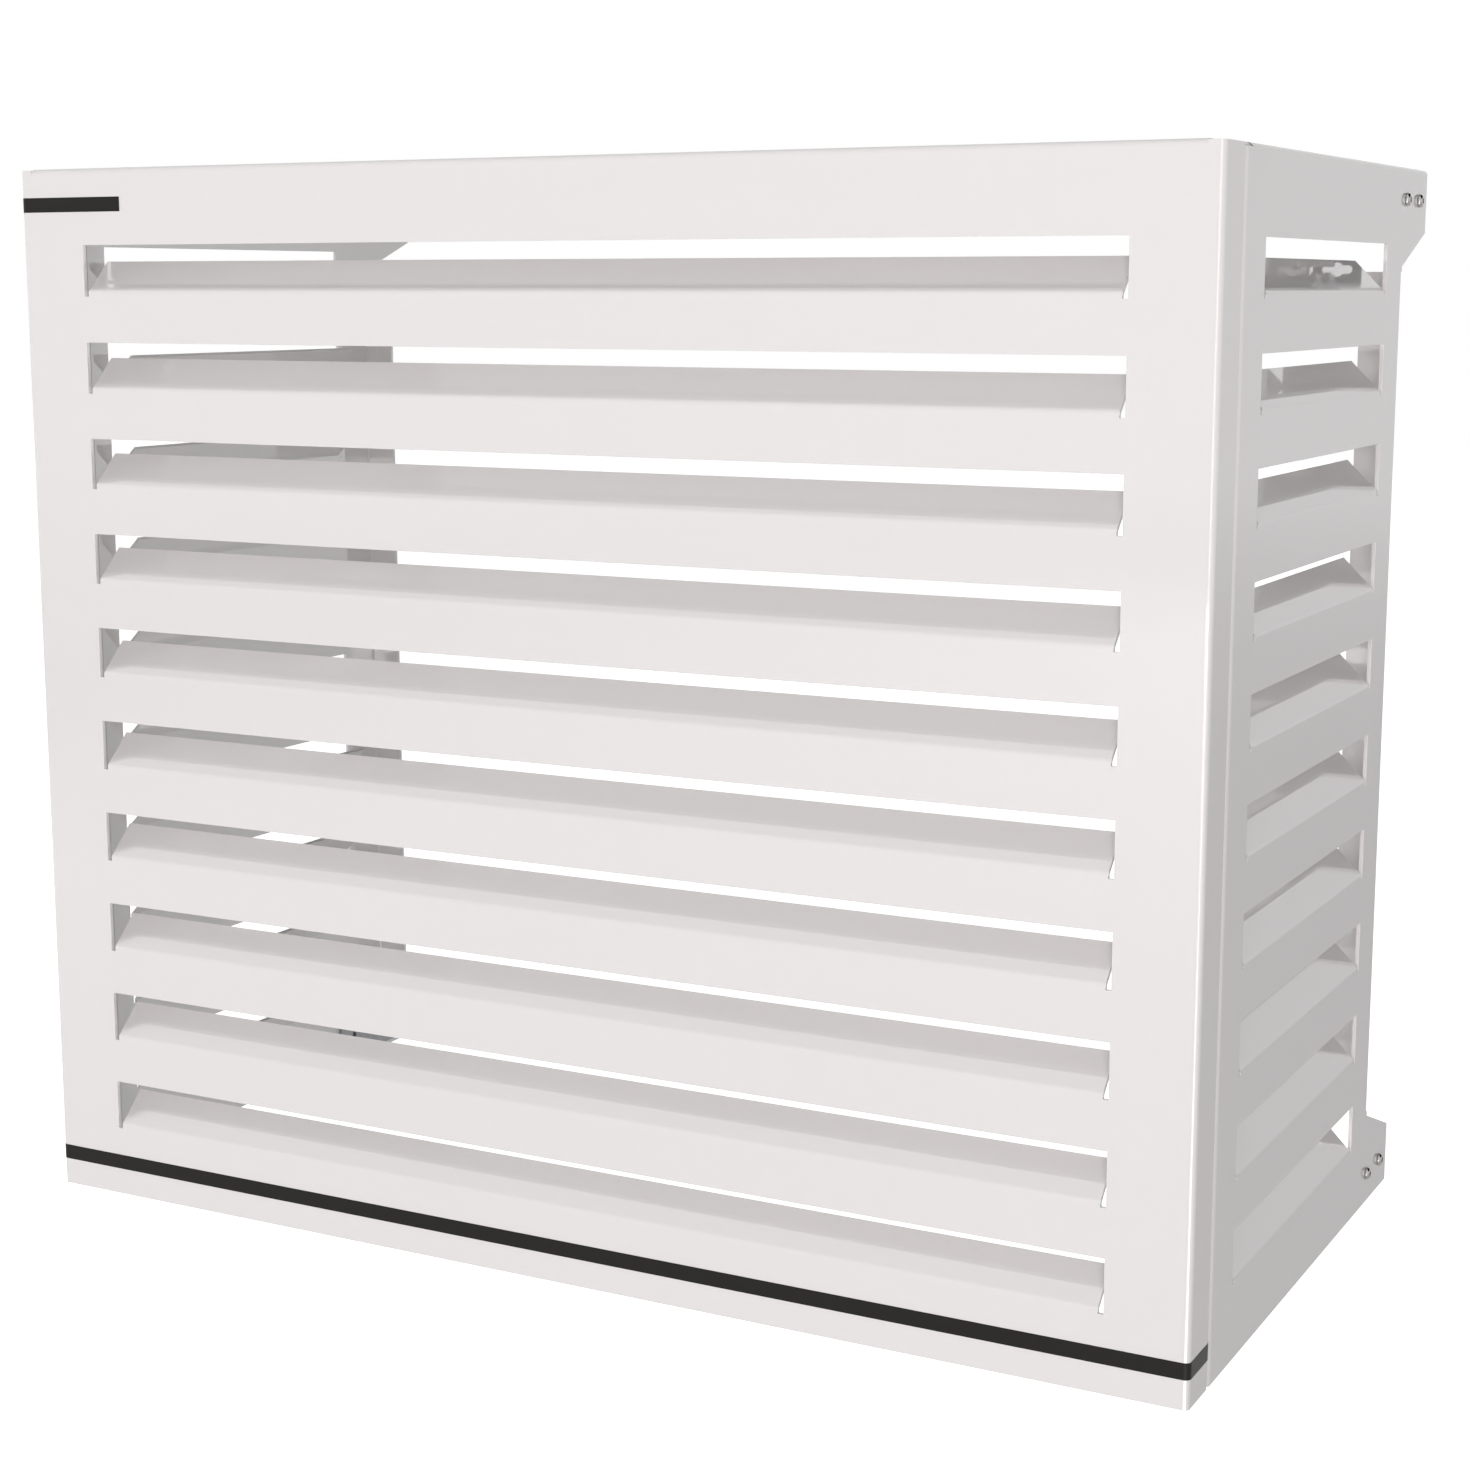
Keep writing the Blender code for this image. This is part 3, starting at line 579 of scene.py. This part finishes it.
def louvred_face(bm, sheet, louvre, left_edge, right_edge, slot_left, slot_right):
    """Outer face of a louvred panel with its blades.

    The edges are the outlines of the two margins from the bottom up to the top fold.
    """
    pitch = (sheet.height - 2 * louvre.margin) / (2 * louvre.rows - 1)
    bottoms = [louvre.margin + 2 * row * pitch for row in range(louvre.rows)]
    top_fold = sheet.height - sheet.bend
    levels = [0]
    for bottom in bottoms:
        levels += [bottom - louvre.relief_depth, bottom + pitch]
    levels.append(top_fold)
    flat_skin(bm, left_edge + [(slot_left, level) for level in reversed(levels)])
    flat_skin(bm, right_edge + [(slot_right, level) for level in reversed(levels)])
    blade_left = slot_left + louvre.relief_width
    blade_right = slot_right - louvre.relief_width
    low = 0
    for bottom in bottoms:
        notch = bottom - louvre.relief_depth
        flat_skin(bm, [
            (slot_left, low), (slot_right, low), (slot_right, notch), (blade_right, notch),
            (blade_right, bottom), (blade_left, bottom), (blade_left, notch), (slot_left, notch)])
        foot = [flat_point(blade_left, bottom), flat_point(blade_right, bottom)]
        folded_strip(bm, foot, UP, OUTWARD, louvre.angle, sheet.bend, louvre.flat)
        low = bottom + pitch
    flat_skin(bm, [(slot_left, low), (slot_right, low),
                   (slot_right, top_fold), (slot_left, top_fold)])


def flange(bm, sizes, line, heading, width, outward=OUTWARD, trim_share=0):
    """Folds a flange of a width inward along a line."""
    folded_strip(bm, line, heading, outward, QUARTER, sizes.bend, width - sizes.bend,
                 trim_share)


def top_flange(bm, sheet, places):
    """Flange along the top edge, through the places where the face below has corners."""
    line = [flat_point(place, sheet.height - sheet.bend) for place in places]
    flange(bm, sheet, line, UP, sheet.top_flange)


def front_panel(sheet, louvre, fastener):
    """Front with louvres, a top flange, and returns that end in joint flanges."""
    bm = bmesh.new()
    half = sheet.width / 2
    fold = half - sheet.bend
    corner = half - sheet.front_corner
    slot = half - louvre.front_end
    crest = sheet.height - sheet.edge_drop
    edge = corner_edge(sheet, fold, crest, corner, sheet.slit)
    mirrored_edge = [(-across, up) for across, up in edge]
    louvred_face(bm, sheet, louvre, mirrored_edge, edge, -slot, slot)
    top_flange(bm, sheet, [-corner, -slot, slot, corner])
    holes = bmesh.new()
    for side_name, side in SIDES.items():
        line, heading, outward = folded_strip(
            bm, upright(side * fold, 0, crest), ACROSS * side, OUTWARD, QUARTER, sheet.bend,
            sheet.return_depth - 2 * sheet.bend)
        flange(bm, sheet, line, heading, sheet.joint_flange, outward, 1)
        for label in seam_labels(side_name):
            drill_at(holes, sheet, "joint_bolt_" + label, INWARD,
                     FRONT_Y + sheet.return_depth - sheet.sheet / 2, fastener.hole)
    sheet_piece("louvred_front", "front_panel", bm, sheet.sheet, sheet.edge_round,
                (0, FRONT_Y, 0), holes=holes)


def ear_edge(sheet):
    """Wall end of a side panel from the bottom up, with its two ears."""
    flank = sheet.body_depth - sheet.edge_drop
    fold = sheet.body_depth - sheet.bend
    top_fold = sheet.height - sheet.bend
    low_root = sheet.ear_height + sheet.ear_slope
    low_fold = low_root + sheet.flange_inset
    high_root = sheet.height - low_root
    high_fold = sheet.height - low_fold
    return [(sheet.ear_end, 0), (sheet.ear_end, sheet.ear_height),
            (flank, low_root), (flank, low_fold - sheet.slit), (fold, low_fold - sheet.slit),
            (fold, low_fold), (fold, high_fold), (fold, high_fold + sheet.slit),
            (flank, high_fold + sheet.slit), (flank, high_root),
            (sheet.ear_end, sheet.height - sheet.ear_height), (sheet.ear_end, top_fold)]


def side_panel(side_name, sheet, louvre, fastener):
    """Side with louvres, a joint flange in front, a top and a back flange, and two ears."""
    side = SIDES[side_name]
    half = sheet.width / 2
    bm = bmesh.new()
    seam_fold = sheet.seam + sheet.bend
    corner = sheet.seam + sheet.side_corner
    slot_front = sheet.seam + louvre.side_end
    slot_rear = sheet.body_depth - louvre.side_end
    crest = sheet.height - sheet.side_drop
    louvred_face(bm, sheet, louvre, corner_edge(sheet, seam_fold, crest, corner, -sheet.slit),
                 ear_edge(sheet), slot_front, slot_rear)
    top_flange(bm, sheet, [corner, slot_front, slot_rear, sheet.ear_end])
    flange(bm, sheet, upright(seam_fold, 0, crest), -ACROSS, sheet.joint_flange, trim_share=1)
    low_fold = sheet.ear_height + sheet.ear_slope + sheet.flange_inset
    back_line = upright(sheet.body_depth - sheet.bend, low_fold, sheet.height - low_fold)
    flange(bm, sheet, back_line, ACROSS, sheet.back_flange)
    holes = bmesh.new()
    for label in seam_labels(side_name):
        drill_at(holes, sheet, "joint_bolt_" + label, INWARD,
                 FRONT_Y + sheet.seam + sheet.sheet / 2, fastener.hole)
        drill_at(holes, sheet, "roof_rivet_" + label, UP, sheet.height - sheet.sheet / 2,
                 fastener.rivet + sheet.slit / 2)
    for label in ear_labels(side_name):
        drill_at(holes, sheet, "ear_screw_" + label, ACROSS, side * (half - sheet.sheet / 2),
                 fastener.hole)
    sheet_piece("louvred_side_" + side_name, "side_panel_" + side_name, bm, sheet.sheet,
                sheet.edge_round, (side * half, FRONT_Y, 0), QUARTER, side < 0, holes)


def roof_tray(sheet, bracket, fastener):
    """Flat tray under the top flanges, with a lip turned down in front and behind."""
    bm = bmesh.new()
    edge = round(ROOF_HIGH.x, 4)
    lip_end = edge - bracket.roof_lip_inset
    front = round(ROOF_LOW.y, 4) + sheet.bend
    rear = round(ROOF_HIGH.y, 4) - sheet.bend
    top = round(ROOF_HIGH.z, 4)
    corners = [(-edge, front), (-lip_end, front), (lip_end, front), (edge, front),
               (edge, rear), (lip_end, rear), (-lip_end, rear), (-edge, rear)]
    skin(bm, [Vector((x, y, 0)) for x, y in corners], UP)
    for y, heading in ((front, OUTWARD), (rear, INWARD)):
        line = [Vector((-lip_end, y, 0)), Vector((lip_end, y, 0))]
        flange(bm, sheet, line, heading, ROOF_HIGH.z - ROOF_LOW.z, UP)
    holes = bmesh.new()
    for label in SEAM_LABELS:
        drill_at(holes, sheet, "roof_rivet_" + label, UP, top - sheet.sheet / 2,
                 fastener.rivet + sheet.slit / 2)
    sheet_piece("roof_tray", "roof_panel", bm, sheet.sheet, sheet.edge_round, (0, 0, top),
                holes=holes)


def arc_points(radius, centre_z, start, end):
    """Points of an arc about a centre on the upright axis, in the plane of the wall."""
    points = []
    for step in range(ARC_STEPS + 1):
        angle = start + (end - start) * step / ARC_STEPS
        points.append(Vector((radius * math.cos(angle), 0, centre_z + radius * math.sin(angle))))
    return points


def keyhole_shape(bm, centre, bracket, depth):
    """Adds a cutter for an upright slot with a wider round hole in its middle."""
    slot_radius = bracket.slot_width / 2
    slot_end = bracket.slot_length / 2 - slot_radius
    waist = math.acos(slot_radius / bracket.keyhole_radius)
    outline = arc_points(bracket.keyhole_radius, 0, -waist, waist)
    outline += arc_points(slot_radius, slot_end, 0, math.pi)
    outline += arc_points(bracket.keyhole_radius, 0, math.pi - waist, math.pi + waist)
    outline += arc_points(slot_radius, -slot_end, math.pi, math.tau)
    near = centre - INWARD * depth
    face = bm.faces.new([bm.verts.new(near + point) for point in outline])
    sweep = bmesh.ops.extrude_face_region(bm, geom=[face])
    far = [part for part in sweep["geom"] if isinstance(part, bmesh.types.BMVert)]
    bmesh.ops.translate(bm, vec=INWARD * depth * 2, verts=far)


def wall_bracket(level_name, side_name, sheet, bracket, fastener):
    """Angle bracket: a leg with a row of holes inside the ear and a leg on the wall."""
    label = f"{level_name}_{side_name}"
    node = "wall_bracket_" + label
    low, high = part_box(node)
    side = SIDES[side_name]
    face_x = round(max(abs(low.x), abs(high.x)), 4)
    leg = round(high.y - low.y, 4)
    level = (low.z + high.z) / 2
    half = (high.z - low.z) / 2
    wall = round(high.y, 4)
    bm = bmesh.new()
    fold = -bracket.bend
    flat_skin(bm, [(-leg, -half), (fold, -half), (fold, half), (-leg, half)])
    flange(bm, bracket, upright(fold, -half, half), ACROSS, bracket.wall_leg)
    holes = bmesh.new()
    for index in range(bracket.hole_count):
        depth = bracket.rear_hole - index * bracket.hole_pitch
        centre = Vector((side * (face_x - sheet.sheet / 2), FRONT_Y + depth, level))
        drill(holes, sheet, centre, ACROSS, fastener.hole)
    keyhole = Vector((side * (face_x - bracket.keyhole_inset), wall - sheet.sheet / 2, level))
    keyhole_shape(holes, keyhole, bracket, sheet.sheet)
    sheet_piece("angle_bracket_" + label, node, bm, sheet.sheet, sheet.edge_round,
                (side * face_x, wall, level), QUARTER, side < 0, holes, "galvanised_steel")


def stripe(name, node, sheet, wraps_right):
    """Film stripe that wraps round the front's left corner, and maybe the right one."""
    low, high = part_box(node)
    bottom = round(low.z, 4)
    top = round(high.z, 4)
    fold = sheet.width / 2 - sheet.bend
    right = fold if wraps_right else round(high.x, 4)
    bend = sheet.bend + STRIPE_LIFT
    bm = bmesh.new()
    flat_skin(bm, [(-fold, bottom), (right, bottom), (right, top), (-fold, top)])
    for side in (-1, 1) if wraps_right else (-1,):
        line, heading, outward = folded_strip(
            bm, upright(side * fold, bottom, top), ACROSS * side, OUTWARD, QUARTER, bend,
            sheet.return_depth - 2 * sheet.bend)
        folded_strip(bm, line, heading, outward, STRIPE_END_ANGLE, bend, 0)
    sheet_piece(name, node, bm, STRIPE_LIFT * STRIPE_THICKNESS, STRIPE_EDGE_ROUND,
                (0, FRONT_Y - STRIPE_LIFT, 0), slot="charcoal_film")


# Fasteners: each ring is a height and its radius, or a function from angle to radius

def hexagon(across, cap=1.0):
    """Radius of a hexagon at an angle, rounded off where it would pass a cap."""
    def reach(angle):
        off_corner = (angle + math.pi / 6) % (math.pi / 3) - math.pi / 6
        return min(cap, across / 2 / math.cos(math.pi / 6 - abs(off_corner)))
    return reach


def thread(radius, depth, pitch, height):
    """Radius of a helical thread at an angle, for a ring at some height."""
    def reach(angle):
        turn = (height / pitch - angle / math.tau) % 1
        return radius - depth * abs(2 * turn - 1)
    return reach


def lofted_mesh(name, rings, hollow=False):
    """A closed solid through its rings; a hollow one joins its ends."""
    bm = bmesh.new()
    loops = []
    for height, reach in rings:
        loop = []
        for index in range(ROUND_SIDES):
            angle = math.tau * index / ROUND_SIDES
            radius = reach(angle) if callable(reach) else reach
            place = (radius * math.cos(angle), radius * math.sin(angle), height)
            loop.append(bm.verts.new(place))
        loops.append(loop)
    pairs = list(zip(loops, loops[1:]))
    if hollow:
        pairs.append((loops[-1], loops[0]))
    else:
        bm.faces.new(loops[0])
        bm.faces.new(loops[-1])
    for near, far in pairs:
        for index in range(ROUND_SIDES):
            after = (index + 1) % ROUND_SIDES
            bm.faces.new([near[index], near[after], far[after], far[index]])
    bmesh.ops.recalc_face_normals(bm, faces=bm.faces)
    mesh = mesh_from(name, bm)
    mesh.shade_smooth()
    mesh.set_sharp_from_angle(angle=SHARP_EDGE)
    return mesh


def threaded_shank(sizes, depth):
    """Rings of a threaded shank that is tapered at its end, up to the head's underside."""
    count = max(2, round(depth / (sizes.pitch / THREAD_STEPS)))
    rings = [(-depth, sizes.shank - sizes.thread_depth * THREAD_TAPER)]
    for index in range(1, count):
        height = -depth + depth * index / count
        lead = min(1.0, (height + depth) / sizes.pitch)
        radius = sizes.shank - sizes.thread_depth * (1 - lead)
        rings.append((height, thread(radius, sizes.thread_depth, sizes.pitch, height)))
    return rings + [(0, sizes.shank)]


def dome(low, high, outer, inner, steps):
    """Rings of a quarter round from a rim up to the edge of its middle."""
    turns = [QUARTER * step / steps for step in range(1, steps + 1)]
    return [(low + (high - low) * math.sin(turn), inner + (outer - inner) * math.cos(turn))
            for turn in turns]


def chamfered_hexagon(across, height, both_ends):
    """Rings of a hexagonal body whose corners are turned off at its ends."""
    slope = math.tan(math.pi / 6)
    face = across / 2 * HEXAGON_FACE
    rise = (across / 2 / math.cos(math.pi / 6) - face) * slope
    end = [(rise * step, hexagon(across, face + rise * step / slope))
           for step in (0, 0.1, 0.25, 0.45, 0.7, 1.0)]
    foot = end if both_ends else [(0, end[-1][1])]
    return foot + [(height - drop, reach) for drop, reach in reversed(end)]


def button_screw_mesh(sizes, depth):
    """Domed socket screw from the end of its thread to the floor of its socket."""
    radius = sizes.dome
    height = sizes.dome_height
    half_socket = sizes.socket / 2
    floor = height - sizes.socket_depth
    rings = threaded_shank(sizes, depth)
    rings += [(0, radius - SCREW_SOFT_EDGE), (SCREW_SOFT_EDGE, radius), (SCREW_RIM, radius)]
    rings += dome(SCREW_RIM, height, radius, half_socket * SCREW_CROWN, SCREW_DOME_STEPS)
    socket = hexagon(sizes.socket)
    rings += [(height, half_socket * SOCKET_MOUTH), (height - CHAMFER, socket),
              (floor, socket), (floor - CHAMFER, SOCKET_TIP)]
    return lofted_mesh("button_screw", rings)


def hex_bolt_mesh(sizes, depth):
    """Hexagon bolt from the end of its thread to the top of its head."""
    rings = threaded_shank(sizes, depth)
    rings += chamfered_hexagon(sizes.nut_across, BOLT_HEAD, False)
    return lofted_mesh("hexagon_bolt", rings)


def nut_mesh(sizes, height):
    """Hexagon nut that stands on its own origin, with a chamfered bore."""
    bore = sizes.hole
    rings = chamfered_hexagon(sizes.nut_across, height, True)
    rings += [(height, bore + CHAMFER), (height - CHAMFER, bore),
              (CHAMFER, bore), (0, bore + CHAMFER)]
    return lofted_mesh("hexagon_nut", rings, hollow=True)


def washer_mesh(sizes, height):
    """Flat washer that lies on its own origin, with softened edges."""
    outer = sizes.washer
    bore = sizes.hole
    top = height - SOFT_EDGE
    return lofted_mesh("flat_washer", [
        (0, outer - SOFT_EDGE), (SOFT_EDGE, outer), (top, outer), (height, outer - SOFT_EDGE),
        (height, bore + SOFT_EDGE), (top, bore), (SOFT_EDGE, bore), (0, bore + SOFT_EDGE)],
        hollow=True)


def rivet_mesh(sizes, grip):
    """Blind rivet: bulged tail, shank, domed head and the broken end of its pin."""
    rings = [(-grip - RIVET_TAIL, sizes.rivet_tail * RIVET_TAIL_END)]
    for step in range(1, RIVET_TAIL_STEPS):
        rise = step / RIVET_TAIL_STEPS
        bulge = math.sqrt(math.sin(math.pi * (0.12 + 0.80 * rise)))
        rings.append((-grip - RIVET_TAIL * (1 - rise), sizes.rivet_tail * bulge))
    radius = sizes.rivet_head
    rings += [(-grip, sizes.rivet), (0, sizes.rivet), (0, radius - SOFT_EDGE),
              (SOFT_EDGE, radius), (RIVET_RIM, radius)]
    rings += dome(RIVET_RIM, RIVET_HEAD, radius, RIVET_BORE, RIVET_DOME_STEPS)
    rings += [(RIVET_HEAD - dip, reach) for dip, reach in PIN_RINGS]
    return lofted_mesh("blind_rivet", rings)


def extent(node, index):
    """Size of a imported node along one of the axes."""
    low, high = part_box(node)
    return high[index] - low[index]


def stand(kinds, node_start, name_start, label, slot, axis, side=1):
    """Stands one fastener of each kind in its node, with its foot at the node's near end."""
    for kind, (mesh, foot) in kinds.items():
        node = f"{node_start}{kind}_{label}"
        low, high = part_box(node)
        near = (low if side > 0 else high)[AXES.index(axis)]
        item = new_object(f"{name_start}{kind}_{label}", mesh)
        item.location = placed_at(node, axis, near + side * foot)
        item.rotation_euler = UP.rotation_difference(axis * side).to_euler()
        dress(item, slot, node)


# Studio

def add_object(name, data, place, aim):
    """Adds a lamp or a camera that looks along a direction."""
    item = new_object(name, data)
    item.location = place
    item.rotation_euler = aim.to_track_quat("-Z", "Y").to_euler()
    return item


def area_lamp(name, power, place, target, size, tint, glossy, diffuse):
    """A soft rectangular lamp; its reflections or its plain light may be left out."""
    data = bpy.data.lights.new(name, "AREA")
    data.shape = "RECTANGLE"
    data.size, data.size_y = size
    data.energy = power
    data.color = tint
    lamp = add_object(name, data, place, Vector(target) - Vector(place))
    lamp.visible_glossy = glossy
    lamp.visible_diffuse = diffuse


def seen_directly(tree):
    """One where a ray comes from the camera, a reflection or a transmission."""
    path = add_node(tree, "LightPath")
    seen = math_node(tree, "MAXIMUM", path["Is Camera Ray"], path["Is Glossy Ray"])
    return math_node(tree, "MAXIMUM", seen, path["Is Transmission Ray"])


def past_black_card(tree, studio):
    """Zero where a reflection meets the round black card that the screw heads mirror."""
    path = add_node(tree, "LightPath")
    toward = vector_node(tree, "DOT_PRODUCT", add_node(tree, "TexCoord")["Generated"],
                         Vector(studio.card).normalized())["Value"]
    card = ramp(tree, toward, 0.0, 1.0, math.cos(studio.card_reach),
                math.cos(studio.card_reach * CARD_CORE), "SMOOTHSTEP")
    met = math_node(tree, "MULTIPLY", path["Is Glossy Ray"], card)
    return math_node(tree, "SUBTRACT", 1.0, met)


def studio_world(studio):
    """White surroundings with a black card, which light the object at a plain level."""
    world = bpy.data.worlds.new("studio")
    world.use_nodes = True
    tree = world.node_tree
    background = tree.nodes["Background"].inputs
    background["Color"].default_value = (*WHITE, 1)
    strength = ramp(tree, seen_directly(tree), studio.sky, 1.0)
    lit = math_node(tree, "MULTIPLY", strength, past_black_card(tree, studio))
    tree.links.new(lit, background["Strength"])
    bpy.context.scene.world = world


def studio_floor(studio):
    """Plain pale floor that keeps the object's shadow."""
    bm = bmesh.new()
    corners = [(-1, -1), (1, -1), (1, 1), (-1, 1)]
    skin(bm, [Vector((x, y, 0)) * FLOOR_REACH for x, y in corners], UP)
    floor = new_object("studio_floor", mesh_from("studio_floor", bm))
    floor.location = (0, 0, -studio.floor_drop)
    tree, shader, place = new_material("studio_floor")
    mottle = noise_node(tree, place, scale=3.0, detail=4.0)
    tone = studio.floor_tone[0]
    tree.links.new(ramp(tree, mottle, tone - FLOOR_MOTTLE, tone + FLOOR_MOTTLE),
                   shader["Base Color"])
    shader["Roughness"].default_value = 0.9
    shader["Specular IOR Level"].default_value = 0.0
    shader["Emission Color"].default_value = (*WHITE, 1)
    path = add_node(tree, "LightPath")
    seen = math_node(tree, "MULTIPLY", path["Is Camera Ray"], studio.floor_lift)
    near = ramp(tree, add_node(tree, "SeparateXYZ", place)["Y"], studio.mirror_lift,
                studio.front_lift, end=-1.0, shape="SMOOTHSTEP")
    distance = vector_node(tree, "LENGTH", place)["Value"]
    faded = ramp(tree, distance, near, studio.far_lift, 1.0, FLOOR_REACH, "SMOOTHSTEP")
    mirrored = math_node(tree, "MULTIPLY", path["Is Glossy Ray"], faded)
    lift = math_node(tree, "MAXIMUM", seen, mirrored)
    tree.links.new(lift, shader["Emission Strength"])
    floor.data.materials.append(bpy.data.materials["studio_floor"])


def studio_camera(studio):
    """Camera at the photograph's viewing angle."""
    data = bpy.data.cameras.new("studio_camera")
    data.lens = studio.lens
    data.sensor_width = 36
    data.shift_x, data.shift_y = studio.shift
    data.clip_end = 100
    bpy.context.scene.camera = add_object("studio_camera", data, studio.camera_place,
                                          Vector(studio.camera_aim))


# Operators

class LOUVRE_OT_finishes(bpy.types.Operator):
    """Makes the finishes that the pieces share"""
    bl_idname = "louvre.finishes"
    bl_label = "Make Finishes"

    def execute(self, context):
        make_finishes(context.scene.screen_finish)
        return {"FINISHED"}


class LOUVRE_OT_front(bpy.types.Operator):
    """Builds the louvred front panel"""
    bl_idname = "louvre.front"
    bl_label = "Build Front Panel"

    def execute(self, context):
        scene = context.scene
        front_panel(scene.screen_sheet, scene.screen_louvre, scene.screen_fastener)
        return {"FINISHED"}


class LOUVRE_OT_sides(bpy.types.Operator):
    """Builds the two louvred side panels"""
    bl_idname = "louvre.sides"
    bl_label = "Build Side Panels"

    def execute(self, context):
        scene = context.scene
        for side_name in SIDES:
            side_panel(side_name, scene.screen_sheet, scene.screen_louvre,
                       scene.screen_fastener)
        return {"FINISHED"}


class LOUVRE_OT_roof(bpy.types.Operator):
    """Builds the roof tray"""
    bl_idname = "louvre.roof"
    bl_label = "Build Roof Tray"

    def execute(self, context):
        scene = context.scene
        roof_tray(scene.screen_sheet, scene.screen_bracket, scene.screen_fastener)
        return {"FINISHED"}


class LOUVRE_OT_brackets(bpy.types.Operator):
    """Builds the four wall brackets"""
    bl_idname = "louvre.brackets"
    bl_label = "Build Wall Brackets"

    def execute(self, context):
        scene = context.scene
        for level_name in LEVELS:
            for side_name in SIDES:
                wall_bracket(level_name, side_name, scene.screen_sheet, scene.screen_bracket,
                             scene.screen_fastener)
        return {"FINISHED"}


class LOUVRE_OT_ear_fasteners(bpy.types.Operator):
    """Builds the screws, washers and nuts in the ears"""
    bl_idname = "louvre.ear_fasteners"
    bl_label = "Build Ear Fasteners"

    def execute(self, context):
        fastener = context.scene.screen_fastener
        shank = extent("ear_screw_top_right_1", 0) - fastener.dome_height
        kinds = {"screw": (button_screw_mesh(fastener, shank), shank),
                 "washer": (washer_mesh(fastener, extent("ear_washer_top_right_1", 0)), 0),
                 "nut": (nut_mesh(fastener, extent("ear_nut_top_right_1", 0)), 0)}
        for side_name, side in SIDES.items():
            for label in ear_labels(side_name):
                stand(kinds, "ear_", "", label, "stainless_steel", ACROSS, side)
        return {"FINISHED"}


class LOUVRE_OT_joint_fasteners(bpy.types.Operator):
    """Builds the bolts and nuts behind the front corners"""
    bl_idname = "louvre.joint_fasteners"
    bl_label = "Build Joint Fasteners"

    def execute(self, context):
        fastener = context.scene.screen_fastener
        shank = extent("joint_bolt_right_1", 1) - BOLT_HEAD
        kinds = {"bolt": (hex_bolt_mesh(fastener, shank), shank),
                 "nut": (nut_mesh(fastener, extent("joint_nut_right_1", 1)), 0)}
        for label in SEAM_LABELS:
            stand(kinds, "joint_", "corner_", label, "zinc_plate", INWARD)
        return {"FINISHED"}


class LOUVRE_OT_rivets(bpy.types.Operator):
    """Builds the rivets between the top flanges and the roof tray"""
    bl_idname = "louvre.rivets"
    bl_label = "Build Roof Rivets"

    def execute(self, context):
        fastener = context.scene.screen_fastener
        foot = extent("roof_rivet_right_1", 2) - RIVET_HEAD
        kinds = {"rivet": (rivet_mesh(fastener, foot - RIVET_TAIL), foot)}
        for label in SEAM_LABELS:
            stand(kinds, "roof_", "blind_", label, "rivet_aluminium", UP)
        return {"FINISHED"}


class LOUVRE_OT_stripes(bpy.types.Operator):
    """Builds the two film stripes"""
    bl_idname = "louvre.stripes"
    bl_label = "Build Film Stripes"

    def execute(self, context):
        sheet = context.scene.screen_sheet
        stripe("long_stripe", "bottom_stripe", sheet, True)
        stripe("short_stripe", "top_stripe", sheet, False)
        return {"FINISHED"}


class LOUVRE_OT_studio(bpy.types.Operator):
    """Sets up the surroundings, the floor, the camera and the lamps"""
    bl_idname = "louvre.studio"
    bl_label = "Set Up Studio"

    def execute(self, context):
        studio = context.scene.screen_studio
        studio_world(studio)
        studio_floor(studio)
        studio_camera(studio)
        for name, setting in LAMPS.items():
            area_lamp(name, getattr(studio, name), *setting)
        context.scene.view_settings.view_transform = "Standard"
        return {"FINISHED"}


class LOUVRE_PT_sidebar(bpy.types.Panel):
    """Sizes, finishes and steps of the louvred screen"""
    bl_label = "Louvred Screen"
    bl_idname = "LOUVRE_PT_sidebar"
    bl_space_type = "VIEW_3D"
    bl_region_type = "UI"
    bl_category = "Screen"

    def draw(self, context):
        layout = self.layout
        for name, (title, kind) in SETTINGS.items():
            box = layout.box()
            box.label(text=title)
            for label in kind.__annotations__:
                box.prop(getattr(context.scene, name), label)
        for operator in OPERATORS:
            layout.operator(operator.bl_idname)


SETTINGS = {
    "screen_sheet": ("Sheets", ScreenSheetSizes),
    "screen_louvre": ("Louvres", ScreenLouvreSizes),
    "screen_bracket": ("Brackets and roof", ScreenBracketSizes),
    "screen_fastener": ("Fasteners", ScreenFastenerSizes),
    "screen_finish": ("Finishes", ScreenFinishes),
    "screen_studio": ("Studio", ScreenStudio)}
OPERATORS = [
    LOUVRE_OT_finishes, LOUVRE_OT_front, LOUVRE_OT_sides, LOUVRE_OT_roof, LOUVRE_OT_brackets,
    LOUVRE_OT_ear_fasteners, LOUVRE_OT_joint_fasteners, LOUVRE_OT_rivets, LOUVRE_OT_stripes,
    LOUVRE_OT_studio]
CLASSES = [kind for title, kind in SETTINGS.values()] + OPERATORS + [LOUVRE_PT_sidebar]


def register():
    for item in CLASSES:
        bpy.utils.register_class(item)
    for name, (title, kind) in SETTINGS.items():
        setattr(bpy.types.Scene, name, PointerProperty(type=kind))


def unregister():
    for name in SETTINGS:
        delattr(bpy.types.Scene, name)
    for item in reversed(CLASSES):
        bpy.utils.unregister_class(item)


def main():
    """Builds everything."""
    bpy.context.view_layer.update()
    register()
    for operator in OPERATORS:
        group, name = operator.bl_idname.split(".")
        getattr(getattr(bpy.ops, group), name)()


if __name__ == "__main__":
    main()
